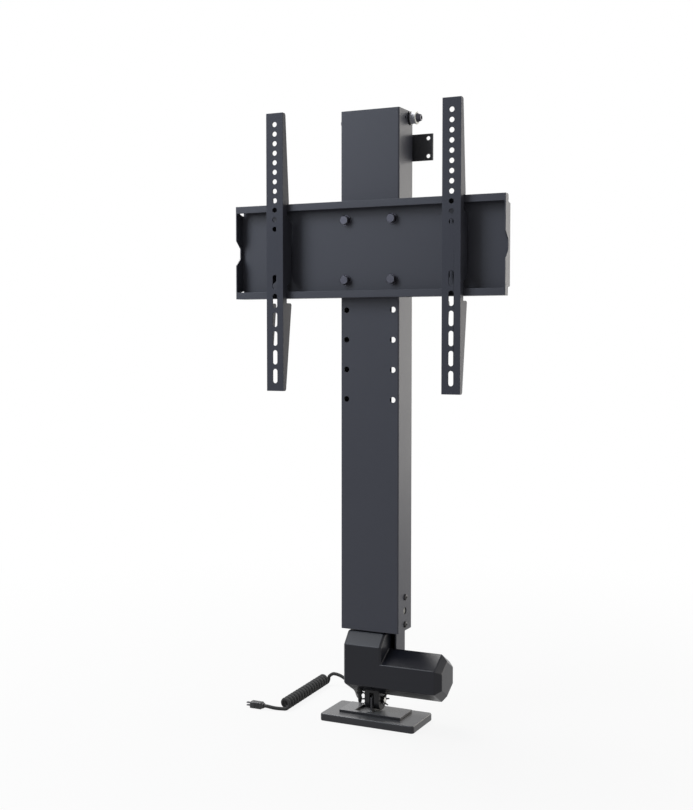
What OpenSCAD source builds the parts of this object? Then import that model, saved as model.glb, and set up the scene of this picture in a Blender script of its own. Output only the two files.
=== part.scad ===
// Motorised television lift: a steel column that a spindle actuator raises from a foot on the floor.
// Frame: +X right seen from the screen side, +Y towards the wall, +Z up.
// The origin is the middle of the foot pad's underside.

/* [Foot] */
// Width of the foot pad, left to right
pad_w = 163; // [130:1:240]
// Depth of the foot pad, front to back
pad_d = 81; // [64:1:120]
// Thickness of the foot pad
pad_t = 12; // [8:0.5:16]
// Corner radius of the foot pad
pad_r = 5; // [4:0.5:14]
// Softened edge of the foot pad
pad_edge = 2; // [1:0.25:3]
// Width of the steel foot plate
foot_plate_w = 107; // [80:1:125]
// Depth of the steel foot plate
foot_plate_d = 49; // [42:1:60]
// Thickness of the steel foot plate
foot_plate_t = 4.5; // [2:0.25:5]
// Thickness of the lug bent up from the foot plate
lug_t = 3.5; // [2.5:0.25:5]
// Height of the clevis pin above the foot plate
pin_rise = 17.5; // [17:0.5:24]

/* [Clevis] */
// Diameter of the clevis pin
pin_d = 8; // [6:0.5:9]
// Thickness of each fork ear
ear_t = 9; // [6:0.5:12]
// Radius of the fork ear round the pin
ear_r = 16; // [13:0.5:16.5]
// Clear width between the fork ears
fork_gap = 7; // [6:0.25:9]

/* [Actuator housing] */
// Depth of the housing, front to back
housing_d = 68; // [66:1:80]
// Height of the slanted faces above and below the front face
slope_rise = 19.5; // [16:0.5:24]
// Height of the motor arm's front face
motor_face_h = 37; // [34:0.5:44]
// Height of the gearbox block's front face
gearbox_face_h = 64; // [60:0.5:76]
// Reach of the gearbox block to the left of the spindle
gearbox_left = 39.5; // [36:0.5:46]
// Reach of the gearbox block to the right of the spindle
gearbox_right = 26.5; // [24:0.5:28]
// Reach of the motor arm to the right of the spindle
motor_reach = 126; // [122:1:150]
// Chamfer round the motor arm's free end
motor_end_chamfer = 9.5; // [6:0.5:10]
// Small chamfer on the gearbox block's ends
block_chamfer = 3; // [1.5:0.25:4]
// Wall of the housing shells
shell = 3; // [2:0.25:3.5]

/* [Gear train] */
// Module of the worm drive
gear_module = 1.5; // [1.4:0.05:1.6]
// Teeth on the worm wheel
wheel_teeth = 16; // [15:1:17]
// Pitch diameter of the worm
worm_pitch_d = 12; // [11.5:0.1:12.5]
// Width of the worm wheel
wheel_w = 14; // [10:0.5:16]
// Diameter of the worm shaft
worm_shaft_d = 8; // [6:0.25:8]
// Diameter of the motor can
can_d = 35; // [28:0.5:35]
// Length of the motor can
can_l = 68; // [56:1:68]
// Diameter of the spindle
spindle_d = 14; // [12:0.5:16]

/* [Actuator tubes] */
// Width of the square actuator tube
tube_w = 38; // [36:0.5:40]
// Wall of the square actuator tube
tube_t = 2; // [1.5:0.25:2.5]
// Length of the square actuator tube
tube_l = 821; // [780:1:920]
// Outside diameter of the round push tube
push_d = 26; // [24:0.5:27]
// Wall of the round push tube
push_t = 2; // [1.5:0.25:2.5]
// Spare length of the tube between the upper limit switch and the top bush
switch_reserve = 52; // [40:1:60]

/* [Column] */
// Width of the column
column_w = 100; // [98:1:112]
// Depth of the column, front to back
column_d = 55; // [54:0.5:56]
// Gap between the actuator tube's top bush and the crosshead at rest
head_room = 14; // [8:0.5:40]
// Sheet thickness of the column
sheet = 2; // [1.5:0.1:2.4]
// Outside bend radius of the column's corners
bend_r = 2.5; // [2.5:0.25:4]
// Width of the column's rear returns
return_w = 10; // [6:0.5:11]
// Distance of the column's front face ahead of the spindle axis
front_reach = 25; // [25:0.25:27]
// Diameter of the column's front holes
hole_d = 9; // [8.5:0.25:10]
// Distance of the front holes' axes from the column's sides
hole_margin = 10; // [9.5:0.25:12]
// Pitch of the front holes
hole_pitch = 47; // [42:0.5:50]
// Rows of front holes
hole_rows = 7; // [5:1:8]
// Distance of the top row of front holes below the column's top
hole_drop = 171; // [160:1:190]

/* [Rails and bracket] */
// Thickness of the nylon glides between the rails and the column's walls
glide_t = 11.2; // [10.5:0.1:12]
// Depth of a rail's web, front to back
rail_d = 35; // [33:0.5:36]
// Width of a rail's rear flange
rail_flange = 16.5; // [14:0.5:17]
// Sheet thickness of the rails
rail_t = 3; // [2:0.25:3.5]
// Gap between a rail's top end and the crosshead
rail_top_gap = 3; // [2:0.5:8]
// Thickness of the wall bracket and the cross plate
bracket_t = 3; // [2:0.25:4]
// Height of the wall bracket
bracket_h = 42; // [40:0.5:60]
// Reach of the wall bracket to the right of the spindle
bracket_reach = 82; // [78:0.5:110]
// Diameter of the wall bracket's holes
bracket_hole_d = 6.5; // [5:0.25:8]
// Pitch of the wall bracket's holes
bracket_hole_pitch = 28; // [26:0.5:30]

/* [Screen plate and arms] */
// Width of the screen plate
plate_w = 460; // [440:1:560]
// Height of the screen plate
plate_h = 150; // [140:1:170]
// Depth of the screen plate's tray
plate_depth = 22; // [20:0.5:28]
// Height of the screen plate's front lips
lip_h = 11; // [8:0.5:12]
// Distance between the two arms
arm_spacing = 300; // [280:1:310]
// Width of an arm
arm_w = 30; // [26:0.5:34]
// Length of an arm
arm_h = 441; // [436:1:460]
// Distance from the screen plate's lips to the arms' front face
arm_stand = 14; // [12:0.5:18]
// Diameter of the arms' round holes and width of their slots
arm_hole_d = 8; // [6:0.25:9]
// Pitch of the arms' round holes
arm_hole_pitch = 15; // [13:0.25:15]
// Length of the arms' slots
arm_slot_l = 23; // [16:0.5:25]
// Pitch of the arms' slots
arm_slot_pitch = 30; // [28:0.25:31]

/* [Fasteners] */
// Thread diameter of the screen plate bolts
bolt_d = 8; // [6:0.5:8]
// Width across the flats of the screen plate bolts
bolt_flats = 13; // [11:0.5:14]
// Diameter of the cross shaft at the column's top
shaft_d = 10; // [8:0.5:10]
// Diameter of the bush on the cross shaft
bush_d = 17.5; // [15:0.5:20]
// Length of the bush on the cross shaft
bush_l = 8; // [6:0.5:12]

/* [Cord] */
// Diameter of the cord
cord_d = 5.8; // [5.4:0.1:6]
// Mean radius of the curls
curl_r = 7.5; // [7.3:0.1:7.7]
// Pitch of the curls
curl_pitch = 10.2; // [10:0.05:10.4]
// Full turns of the curly part
curl_turns = 16; // [10:1:17]

/* [Fits] */
// Gap round sliding nylon pieces
slide_gap = 0.3; // [0.2:0.05:0.5]
// Radial gap of turning and push fits
fit_gap = 0.05; // [0.03:0.01:0.1]
// Gap between teeth flanks
tooth_gap = 0.3; // [0.2:0.05:0.4]

/* [Hidden] */
$fn = 64;

// Colours of the finishes
coat_grey = [0.17, 0.18, 0.20];
plastic_black = [0.08, 0.08, 0.09];
zinc_grey = [0.62, 0.62, 0.60];
nylon_white = [0.90, 0.90, 0.87];
bronze = [0.62, 0.47, 0.27];
board_green = [0.12, 0.30, 0.18];

// Overlap that lets a cut pass right through a face
through = 1;

// Axis of the spindle and the clevis, behind the pad's middle
spindle_y = 5;
pad_shift = [2.5, 1.5];

// Room behind the motor's end cap
can_end_room = 1;

// Heights, from the floor up
foot_top = pad_t + foot_plate_t;
pin_z = foot_top + pin_rise;
fork_roof_rise = 13;
housing_drop = 11;
housing_z = pin_z + housing_drop;
face_z = housing_z + slope_rise;
motor_z = face_z + motor_face_h / 2;
motor_ridge_z = face_z + motor_face_h + slope_rise;
gearbox_ridge_z = face_z + gearbox_face_h + slope_rise;
column_clear = 2;
column_z = gearbox_ridge_z + column_clear;

// Housing planes
half_d = housing_d / 2;
slope = slope_rise / half_d;
roof_half = tube_w / 2 - spindle_y + shell;
roof_slope = slope_rise / (half_d - roof_half);

// Gear train places
wheel_pitch_d = gear_module * wheel_teeth;
worm_y = spindle_y - (wheel_pitch_d + worm_pitch_d) / 2;
worm_lead = PI * gear_module;
lead_angle = atan(worm_lead / (PI * worm_pitch_d));
tooth_rise = 0.9 * gear_module;
tooth_drop = 1.2 * gear_module;
pressure_angle = 20;
fork_head_d = 33;
fork_head_rise = 16;
fork_head_z = housing_z + fork_head_rise;
fork_head_t = 4;
thrust_d = 30;
thrust_t = 8;
thrust_z = fork_head_z + fork_head_t;
journal_step = 2;
journal_d = spindle_d - 2 * journal_step;
shoulder_z = thrust_z + thrust_t;
wheel_z = motor_z - wheel_w / 2;
wheel_hub_d = wheel_pitch_d - 2 * tooth_drop;
bearing_d = 32;
bearing_t = 9;
bearing_shelf_rise = 17;
bearing_shelf_z = motor_z + bearing_shelf_rise;
shelf_top = bearing_shelf_z + bearing_t;
worm_half_l = 13;
worm_bearing_d = 19;
worm_bearing_t = 6;
worm_bearing_x = -24;
worm_rib_t = 8;
worm_rib_lip = 1;
worm_rib_x = worm_bearing_x - worm_rib_lip;
can_x = 31;
can_boss_d = 14;
can_boss_l = 3;
end_cap_l = 7;
cradle_t = 3;
cradle_inset = 12;

// Actuator tube places
tube_z = shelf_top;
tube_top = tube_z + tube_l;
tube_in = tube_w - 2 * tube_t;
bush_plug_h = 25;
bush_flange_h = 4;
nut_rise = 15;
nut_z = column_z + nut_rise;
nut_h = 25;
nut_spigot_h = 25;
nut_guide_w = tube_in - 2 * slide_gap;
nut_top = nut_z + nut_h;
strip_w = 8;
strip_t = 1.2;
strip_z = column_z;
strip_top_drop = 5;
strip_front = spindle_y - tube_in / 2;
switch_h = 13;
lower_switch_t = 5;
switch_gap = 2;
upper_switch_z = tube_top - bush_plug_h - switch_reserve - switch_h;
travel = upper_switch_z - switch_gap - nut_top;
spindle_reserve = 15;
spindle_top = nut_top + travel + spindle_reserve;

// Column planes
column_front = spindle_y - front_reach;
column_back = column_front + column_d;
column_in = column_front + sheet;
wall_in = column_w / 2 - sheet;
return_front = column_back - sheet;
side_hole_back = 3;
side_hole_y = spindle_y + side_hole_back;
hole_span = column_w - 2 * hole_margin;
slider_screw_rise = [10, 54];
side_hole_rise = 32;
side_hole_d = 11.5;
sight_hole_d = 4;
sight_hole_drop = 12;

// Crosshead and cross shaft
cap_t = sheet;
crosshead_h = 23;
crosshead_z = tube_top + bush_flange_h + head_room;
crosshead_top = crosshead_z + crosshead_h;
column_top = crosshead_top + cap_t;
column_h = column_top - column_z;
tube_socket = 20;
shaft_clear = 6;
shaft_y = spindle_y + push_d / 2 + shaft_clear;
shaft_drop = 11;
shaft_z = column_top - shaft_drop;
collar_d = 21;
collar_t = 2;
washer_t = 2;
washer_d = 20;
end_head_d = 14;
end_head_l = 7;
end_recess_d = 5;
end_recess_l = 3;
end_taper = 2;
cap_screw_inset = 14;
cap_screw_x = wall_in - cap_screw_inset;
cap_screw_d = 5;
cap_screw_l = 16;

// Rails, glides, sliders and bracket
rail_front = spindle_y;
rail_back = rail_front + rail_d;
rail_x = wall_in - slide_gap - glide_t;
rail_in = rail_x - rail_t;
rail_top = crosshead_z - rail_top_gap;
cross_plate_y = half_d;
rail_flange_y = half_d + bracket_t;
rail_foot_drop = 2;
rail_foot_z = face_z - rail_foot_drop;
cross_plate_rise = 70;
cross_plate_top = column_z + cross_plate_rise;
rail_clear = 1.5;
glide_h = 40;
glide_drop = 5;
glide_z = rail_top - glide_h - glide_drop;
glide_inset = 11;
glide_front = column_in + glide_inset;
slider_h = 60;
slider_lift = 2;
slider_z = column_z + slider_lift;
slider_lip = 3.5;
slider_in = rail_in - slider_lip;
slider_lead = 15;
slider_front = spindle_y - slider_lead;
bracket_drop = 48;
bracket_z = rail_top - bracket_drop;
bracket_hole_margin = 8;
bracket_hole_x = bracket_reach - bracket_hole_margin;
bracket_mid = bracket_z + bracket_h / 2;
small_screw_d = 4;
small_head_d = 8;
small_head_t = 3;
frame_screw_d = 6;
frame_head_d = 11;
frame_head_t = 4;
frame_screw_inset = 9;
frame_screw_x = rail_x - frame_screw_inset;
rail_bolt_rise = [15, 55];

// Screen plate and arms
plate_mid_z = column_top - hole_drop - hole_pitch;
plate_z = plate_mid_z - plate_h / 2;
plate_top = plate_z + plate_h;
plate_back = column_front;
panel_front = plate_back - sheet;
lip_front = plate_back - plate_depth;
end_front_depth = 11;
end_relief_w = 3;
end_relief_h = 11;
end_relief_fall = 3;
end_notch_mouth = 40;
end_notch_floor = 15.5;
end_notch_depth = 13;
arm_front = lip_front - arm_stand;
arm_rise = 218;
arm_top = plate_mid_z + arm_rise;
arm_z = arm_top - arm_h;
arm_holes = 12;
arm_hole_drop = 18;
arm_slots = 6;
arm_slot_lift = 24;
arm_clear = 1;
arm_hook = 7;
arm_tail_hook = 15;
arm_tip_depth = 10;
arm_tail_depth = 10;
arm_tab_margin = 21;
arm_tab_slope = 8;
arm_tab_gap = 5;
arm_relief_h = 7;
arm_corner = 2.5;

// Bolts of the screen plate
bolt_rows = [0, 2];
bolt_head_h = 5.5;
flat_washer_d = 2 * bolt_d + 1;
flat_washer_t = 1.6;
spring_washer_d = 1.65 * bolt_d;
spring_washer_t = 2.2;
nut_t = 6.5;
bolt_tip = 2;

// Cord: the route's points are places on the floor and under the housing
gland = [-22, -8, 42];
gland_collar_h = 4;
gland_collar_d = 11;
gland_neck_d = 8;
gland_tip_d = 7.5;
gland_neck_h = 15;
gland_top = housing_z + gland_neck_h;
coil_start = [-154.8, -18];
coil_turn = 93;
coil_lift = 0.1;
end_turn = 1 / 4;
cord_join = 2;
coil_steps = 8;
cord_sides = 6;
tube_sides = 8;
lead_route = [
    [-153.6, 150.6, 17.7], [-149.5, 151.6, 20.2], [-143.5, 152.4, 20.2], [-135, 153, 18], [-126, 152.3, 14.2],
    [-115, 148.5, 9.2], [-104, 141, 5.2], [-94, 130, 3.2], [-84, 114, 3.2], [-73, 95, 5], [-61, 75, 9.8],
    [-50.5, 56, 16], [-42.3, 37.7, 21.2], [-34.2, 19.4, 25], [-30.1, 10.3, 26.8], [-26, 1, 28.2],
    [-24.4, -2.5, 29.6], [-22.7, -6.5, 34], [-22, -8, 39.8]
];
tail_route = [[-164, -20.6, 3.1], [-170, -22.6, 3.6], [-176, -24.6, 4.6]];
plug_h = 11;
plug_lift = 0.4;
plug_entry = [-189, -26, plug_h / 2 + plug_lift];
plug_l = 25;
plug_w = 12;
plug_neck = 8;
prong_l = 8;
prong_w = 4.5;
prong_t = 1.6;
prong_gap = 4.4;

// Plain solids

// Box between two corners
module block(low, high) {
    translate(low) cube(high - low);
}

// Rods along each axis, from one end to the other
module rod_x(d, from, to, y, z) {
    translate([from, y, z]) rotate([0, 90, 0]) cylinder(d = d, h = to - from);
}
module rod_y(d, from, to, x, z) {
    translate([x, from, z]) rotate([-90, 0, 0]) cylinder(d = d, h = to - from);
}
module rod_z(d, from, to, x = 0, y = spindle_y) {
    translate([x, y, from]) cylinder(d = d, h = to - from);
}

// Hexagon prism along Y, measured across its flats
module hex_y(flats, from, to, x, z) {
    translate([x, from, z]) rotate([-90, 0, 0]) cylinder(d = flats / cos(30), h = to - from, $fn = 6);
}

// The children and their mirror image on the other side of the spindle
module both_sides() {
    children();
    mirror([1, 0, 0]) children();
}

// Rectangle with rounded corners, in the drawing plane
module round_rect(low, high, r) {
    translate([low[0] + r, low[1]]) square([high[0] - low[0] - 2 * r, high[1] - low[1]]);
    translate([low[0], low[1] + r]) square([high[0] - low[0], high[1] - low[1] - 2 * r]);
    for (x = [low[0] + r, high[0] - r]) {
        for (y = [low[1] + r, high[1] - r]) translate([x, y]) circle(r);
    }
}

// Outline in Y and Z, swept along X between two places
module along_x(from, to, outline) {
    translate([from, 0, 0]) rotate([90, 0, 90]) linear_extrude(to - from) polygon(outline);
}

// Closed skin through a list of rings, each ring a list of points
module skin(rings) {
    n = len(rings[0]);
    last = len(rings) - 1;
    sides = [
        for (i = [0 : last - 1]) for (j = [0 : n - 1])
            let (a = i * n + j, b = i * n + (j + 1) % n)
                each [[a, a + n, b], [b, a + n, b + n]]
    ];
    first_cap = [for (j = [1 : n - 2]) [0, j, j + 1]];
    last_cap = [for (j = [1 : n - 2]) [last * n, last * n + j + 1, last * n + j]];
    polyhedron(points = [for (ring = rings) each ring], faces = concat(sides, first_cap, last_cap));
}

function unit(v) = v / norm(v);

// Direction of a route at one of its points
function heading(route, i) =
    unit(route[min(i + 1, len(route) - 1)] - route[max(i - 1, 0)]);

// Round rings along a route, square to it
function tube_rings(route, d, sides, side_hint) = [
    for (i = [0 : len(route) - 1])
        let (
            ahead = heading(route, i),
            across = unit(cross(side_hint, ahead)),
            over = cross(ahead, across)
        )
        [for (k = [0 : sides - 1]) route[i] + d / 2 * (cos(360 * k / sides) * across
            + sin(360 * k / sides) * over)]
];

// Foot

module foot_pad() {
    color(plastic_black)
        hull() for (x = [-1, 1]) for (y = [-1, 1])
            translate(pad_shift + [x * (pad_w / 2 - pad_r), y * (pad_d / 2 - pad_r)]) {
                cylinder(r = pad_r - pad_edge / 2, h = pad_t, $fn = 32);
                translate([0, 0, pad_edge / 2]) cylinder(r = pad_r, h = pad_t - 1.5 * pad_edge, $fn = 32);
                cylinder(r = pad_r - pad_edge, h = pad_t, $fn = 32);
            }
}

// Plate with a lug bent up out of it, leaving a window beside the lug
lug_wall = 6;
lug_r = pin_d / 2 + lug_wall;
lug_front = 17;
lug_base = 3;
lug_shoulder = 6;
lug_window = pin_rise + lug_r;
lug_half = min(lug_front, foot_plate_d / 2 - 4);
module foot_plate() {
    lug = [
        [spindle_y - lug_half - lug_base, foot_top - foot_plate_t],
        [spindle_y + lug_half + lug_base, foot_top - foot_plate_t],
        [spindle_y + lug_half + lug_base, foot_top],
        [spindle_y + lug_half, foot_top + lug_base],
        [spindle_y + lug_half, pin_z + lug_shoulder],
        [spindle_y + lug_r / 2, pin_z + lug_r - 1],
        [spindle_y - lug_r / 2, pin_z + lug_r - 1],
        [spindle_y - lug_half, pin_z + lug_shoulder],
        [spindle_y - lug_half, foot_top + lug_base],
        [spindle_y - lug_half - lug_base, foot_top]
    ];
    color(coat_grey) difference() {
        union() {
            difference() {
                block(
                    [-foot_plate_w / 2, spindle_y - foot_plate_d / 2, pad_t],
                    [foot_plate_w / 2, spindle_y + foot_plate_d / 2, foot_top]
                );
                block(
                    [-lug_t / 2 - lug_window, spindle_y - lug_half, pad_t - through],
                    [-lug_t / 2, spindle_y + lug_half, foot_top + through]
                );
            }
            along_x(-lug_t / 2, lug_t / 2, lug);
        }
        rod_x(pin_d + 2 * fit_gap, -lug_t, lug_t, spindle_y, pin_z);
    }
}

// Clevis

fork_half_w = fork_gap / 2 + ear_t;
module clevis_fork() {
    color(coat_grey) difference() {
        union() {
            rod_x(2 * ear_r, -fork_half_w, fork_half_w, spindle_y, pin_z);
            block([-fork_half_w, spindle_y - ear_r, pin_z], [fork_half_w, spindle_y + ear_r, fork_head_z]);
            rod_z(fork_head_d, fork_head_z, thrust_z);
        }
        block(
            [-fork_gap / 2, spindle_y - ear_r - through, pin_z - ear_r - through],
            [fork_gap / 2, spindle_y + ear_r + through, pin_z + fork_roof_rise]
        );
        rod_x(pin_d + 2 * fit_gap, -fork_half_w - through, fork_half_w + through, spindle_y, pin_z);
        rod_z(journal_d + 2 * fit_gap, fork_head_z + 1, thrust_z + through);
    }
}

clip_t = 1.5;
clip_d = pin_d + 6;
pin_end = 3;
module clevis_pin() {
    color(zinc_grey) difference() {
        rod_x(
            pin_d, -fork_half_w - clip_t - pin_end, fork_half_w + clip_t + pin_end, spindle_y, pin_z
        );
        both_sides() difference() {
            rod_x(pin_d + 2, fork_half_w, fork_half_w + clip_t, spindle_y, pin_z);
            rod_x(pin_d - 2, fork_half_w - through, fork_half_w + clip_t + through, spindle_y, pin_z);
        }
    }
}

// Spring clips in the pin's end grooves, open at the top
module pin_clips() {
    color(zinc_grey) both_sides() difference() {
        rod_x(clip_d, fork_half_w, fork_half_w + clip_t, spindle_y, pin_z);
        rod_x(
            pin_d - 2 + 2 * fit_gap, fork_half_w - through, fork_half_w + clip_t + through, spindle_y, pin_z
        );
        block(
            [fork_half_w - through, spindle_y - pin_d / 2 + 1, pin_z],
            [fork_half_w + clip_t + through, spindle_y + pin_d / 2 - 1, pin_z + clip_d]
        );
    }
}

// Housing

// Outline of the housing in Y and Z under a ridge or a flat roof, drawn in from its faces by an inset
function housing_outline(face_h, roof, inset) = let (
    d = half_d - inset,
    low_ridge = housing_z + inset * sqrt(1 + slope * slope),
    steep = slope_rise / (half_d - roof),
    draw = inset * sqrt(1 + steep * steep),
    face_top = face_z + face_h,
    top = face_top + slope_rise - (roof > 0 ? inset : draw),
    edge = half_d - (top - face_top + draw) / steep,
    high_face = face_top + inset * steep - draw
) concat(
    [[-d, low_ridge + slope * d], [0, low_ridge], [d, low_ridge + slope * d], [d, high_face], [edge, top]],
    roof > 0 ? [[-edge, top]] : [],
    [[-d, high_face]]
);

// Faceted bar along X with a chamfer at each end
slice = 0.01;
module housing_bar(face_h, roof, from, to, left_chamfer, right_chamfer, inset) {
    hull() {
        along_x(from, from + slice, housing_outline(face_h, roof, inset + left_chamfer));
        along_x(
            from + left_chamfer, from + left_chamfer + slice, housing_outline(face_h, roof, inset)
        );
        along_x(to - right_chamfer - slice, to - right_chamfer, housing_outline(face_h, roof, inset));
        along_x(to - slice, to, housing_outline(face_h, roof, inset + right_chamfer));
    }
}

module housing_body(inset) {
    housing_bar(
        gearbox_face_h, roof_half, -gearbox_left + inset, gearbox_right - inset, block_chamfer,
        block_chamfer, inset
    );
    housing_bar(
        motor_face_h, 0, -gearbox_left + 2 * shell + inset, motor_reach - inset, block_chamfer,
        motor_end_chamfer, inset
    );
}

boss_d = 10;
housing_screw_x = motor_reach - motor_end_chamfer - boss_d / 2;
housing_screw_inset = [9, 7];
housing_screws_at = [
    [-gearbox_left + housing_screw_inset[0], face_z + housing_screw_inset[1]],
    [-gearbox_left + housing_screw_inset[0], face_z + gearbox_face_h - housing_screw_inset[1]],
    [housing_screw_x, motor_z]
];
cross_screw_clear = 2;
cross_screw_x = rail_x - rail_flange - small_head_d / 2 - cross_screw_clear;
cross_screw_inset = 6;
cross_screws_at = [
    for (x = [-1, 1]) for (z = [face_z + cross_screw_inset, bearing_shelf_z - cross_screw_inset])
        [x * cross_screw_x, z]
];
screw_tip = 14;

// Ribs and shelves that hold the gear train and the motor
module housing_seats() {
    block(
        [-gearbox_left, -half_d, bearing_shelf_z],
        [gearbox_right, half_d, shelf_top]
    );
    block([-gearbox_left, -half_d, fork_head_z - 4], [gearbox_right, half_d, fork_head_z]);
    block(
        [worm_rib_x, -half_d, fork_head_z],
        [worm_rib_x + worm_rib_t, half_d, bearing_shelf_z]
    );
    for (x = [can_x + cradle_inset, can_x + can_l - cradle_inset]) {
        block([x, -half_d, housing_z], [x + cradle_t, half_d, motor_ridge_z]);
    }
}

// Room in the housing for what it holds and for what passes through its walls
module housing_cuts() {
    rod_x(can_d + 2 * fit_gap, can_x - through, can_x + can_l + end_cap_l + can_end_room, worm_y, motor_z);
    rod_x(worm_bearing_d + 2 * fit_gap, worm_bearing_x, -worm_half_l, worm_y, motor_z);
    rod_x(worm_shaft_d + 2, worm_rib_x - through, can_x, worm_y, motor_z);
    rod_z(bearing_d + 2 * fit_gap, bearing_shelf_z - through, shelf_top + through);
    block(
        [-fork_half_w - fit_gap, spindle_y - ear_r - fit_gap, housing_z - through],
        [fork_half_w + fit_gap, spindle_y + ear_r + fit_gap, fork_head_z + through]
    );
    block(
        [-tube_w / 2 - fit_gap, spindle_y - tube_w / 2 - fit_gap, shelf_top],
        [tube_w / 2 + fit_gap, spindle_y + tube_w / 2 + fit_gap, gearbox_ridge_z + through]
    );
    rod_z(gland_neck_d + 2 * fit_gap, housing_z, gland_top, gland[0], gland[1]);
    for (at = housing_screws_at) {
        rod_y(small_screw_d + 2 * fit_gap, -screw_tip, half_d + through, at[0], at[1]);
        rod_y(small_head_d + 2 * fit_gap, half_d - small_head_t, half_d + through, at[0], at[1]);
    }
    for (at = cross_screws_at) {
        rod_y(small_screw_d + 2 * fit_gap, half_d - screw_tip, half_d + through, at[0], at[1]);
    }
}

module housing_shell() {
    difference() {
        union() {
            difference() {
                housing_body(0);
                housing_body(shell);
            }
            intersection() {
                housing_body(0);
                union() {
                    housing_seats();
                    for (at = housing_screws_at) rod_y(boss_d, -half_d, half_d, at[0], at[1]);
                    for (at = cross_screws_at) rod_y(boss_d, half_d - screw_tip - 2, half_d, at[0], at[1]);
                }
            }
        }
        housing_cuts();
    }
}

far = 500;
module housing_front() {
    color(plastic_black) intersection() {
        housing_shell();
        block([-far, -far, 0], [far, 0, far]);
    }
}

module housing_rear() {
    color(plastic_black) intersection() {
        housing_shell();
        block([-far, 0, 0], [far, far, far]);
    }
}

module housing_screws() {
    color(zinc_grey) for (at = housing_screws_at) {
        rod_y(small_screw_d, -screw_tip + through, half_d - small_head_t, at[0], at[1]);
        rod_y(small_head_d, half_d - small_head_t, half_d, at[0], at[1]);
    }
}

// Motor and gear train

module motor_can() {
    color(zinc_grey) difference() {
        union() {
            rod_x(can_d, can_x, can_x + can_l, worm_y, motor_z);
            rod_x(can_boss_d, can_x - can_boss_l, can_x, worm_y, motor_z);
        }
        rod_x(worm_shaft_d + 2 * fit_gap, can_x - can_boss_l - through, can_x + 8, worm_y, motor_z);
    }
}

module motor_end_cap() {
    color(plastic_black) {
        rod_x(can_d - 1, can_x + can_l, can_x + can_l + end_cap_l - 3, worm_y, motor_z);
        rod_x(can_d / 2, can_x + can_l + end_cap_l - 3, can_x + can_l + end_cap_l, worm_y, motor_z);
    }
}

module motor_bearing() {
    color(zinc_grey) difference() {
        rod_x(worm_bearing_d, worm_bearing_x, worm_bearing_x + worm_bearing_t, worm_y, motor_z);
        rod_x(
            worm_shaft_d + 2 * fit_gap, worm_bearing_x - through, worm_bearing_x + worm_bearing_t + through,
            worm_y, motor_z
        );
    }
}

module thrust_bearing() {
    color(zinc_grey) difference() {
        rod_z(thrust_d, thrust_z, shoulder_z);
        rod_z(journal_d + 2 * fit_gap, thrust_z - through, shoulder_z + through);
    }
}

module spindle_bearing() {
    color(zinc_grey) difference() {
        rod_z(bearing_d, bearing_shelf_z, shelf_top);
        rod_z(spindle_d + 2 * fit_gap, bearing_shelf_z - through, shelf_top + through);
    }
}

module spindle() {
    color(zinc_grey) {
        rod_z(journal_d, fork_head_z + 2, shoulder_z + fit_gap);
        rod_z(spindle_d, shoulder_z + fit_gap, spindle_top);
    }
}

// Half width of a tooth or thread at a height above its pitch line
function flank(height) = worm_lead / 4 - tooth_gap - height * tan(pressure_angle);

module worm_wheel() {
    tooth = [
        [wheel_pitch_d / 2 - tooth_drop - 0.5, -flank(-tooth_drop)],
        [wheel_pitch_d / 2 + tooth_rise, -flank(tooth_rise)],
        [wheel_pitch_d / 2 + tooth_rise, flank(tooth_rise)],
        [wheel_pitch_d / 2 - tooth_drop - 0.5, flank(-tooth_drop)]
    ];
    tooth_l = (wheel_w - 1) / cos(lead_angle) - 2 * wheel_pitch_d * sin(lead_angle) / wheel_teeth;
    color(bronze) translate([0, spindle_y, motor_z]) difference() {
        union() {
            cylinder(d = wheel_hub_d, h = wheel_w, center = true);
            for (i = [0 : wheel_teeth - 1])
                rotate([0, 0, -90 + (i + 0.5) * 360 / wheel_teeth])
                    rotate([lead_angle, 0, 0])
                        linear_extrude(tooth_l, center = true) polygon(tooth);
        }
        cylinder(d = spindle_d + 2 * fit_gap, h = wheel_w + 2 * through, center = true);
    }
}

// Worm with one right-hand thread, its crest facing the wheel at the middle
thread_steps = 16;
thread_turns = 4;
module worm_shaft() {
    steps = thread_turns * thread_steps;
    root_r = worm_pitch_d / 2 - tooth_drop;
    base_r = root_r - 0.4;
    tip_r = worm_pitch_d / 2 + tooth_rise;
    rings = [
        for (i = [-steps / 2 : steps / 2]) let (
            turn = 360 * i / thread_steps,
            out = [0, cos(turn), sin(turn)],
            at = [worm_lead * i / thread_steps, worm_y, motor_z],
            foot = flank(-tooth_drop),
            crest = flank(tooth_rise)
        ) [
            at + base_r * out + [foot, 0, 0], at + tip_r * out + [crest, 0, 0],
            at + tip_r * out - [crest, 0, 0], at + base_r * out - [foot, 0, 0]
        ]
    ];
    color(zinc_grey) {
        rod_x(worm_shaft_d, worm_bearing_x, can_x + 6, worm_y, motor_z);
        rod_x(2 * root_r, -worm_half_l, worm_half_l, worm_y, motor_z);
        skin(rings);
    }
}

// Actuator tubes

module actuator_tube() {
    color(coat_grey) difference() {
        block(
            [-tube_w / 2, spindle_y - tube_w / 2, tube_z], [tube_w / 2, spindle_y + tube_w / 2, tube_top]
        );
        block(
            [-tube_in / 2, spindle_y - tube_in / 2, tube_z - through],
            [tube_in / 2, spindle_y + tube_in / 2, tube_top + through]
        );
    }
}

module tube_top_bush() {
    plug = tube_in / 2 - fit_gap;
    color(nylon_white) difference() {
        union() {
            block([-plug, spindle_y - plug, tube_top - bush_plug_h], [plug, spindle_y + plug, tube_top]);
            block(
                [-tube_w / 2, spindle_y - tube_w / 2, tube_top],
                [tube_w / 2, spindle_y + tube_w / 2, tube_top + bush_flange_h]
            );
        }
        rod_z(push_d + 2 * fit_gap, tube_top - bush_plug_h - through, tube_top + bush_flange_h + through);
    }
}

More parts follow.
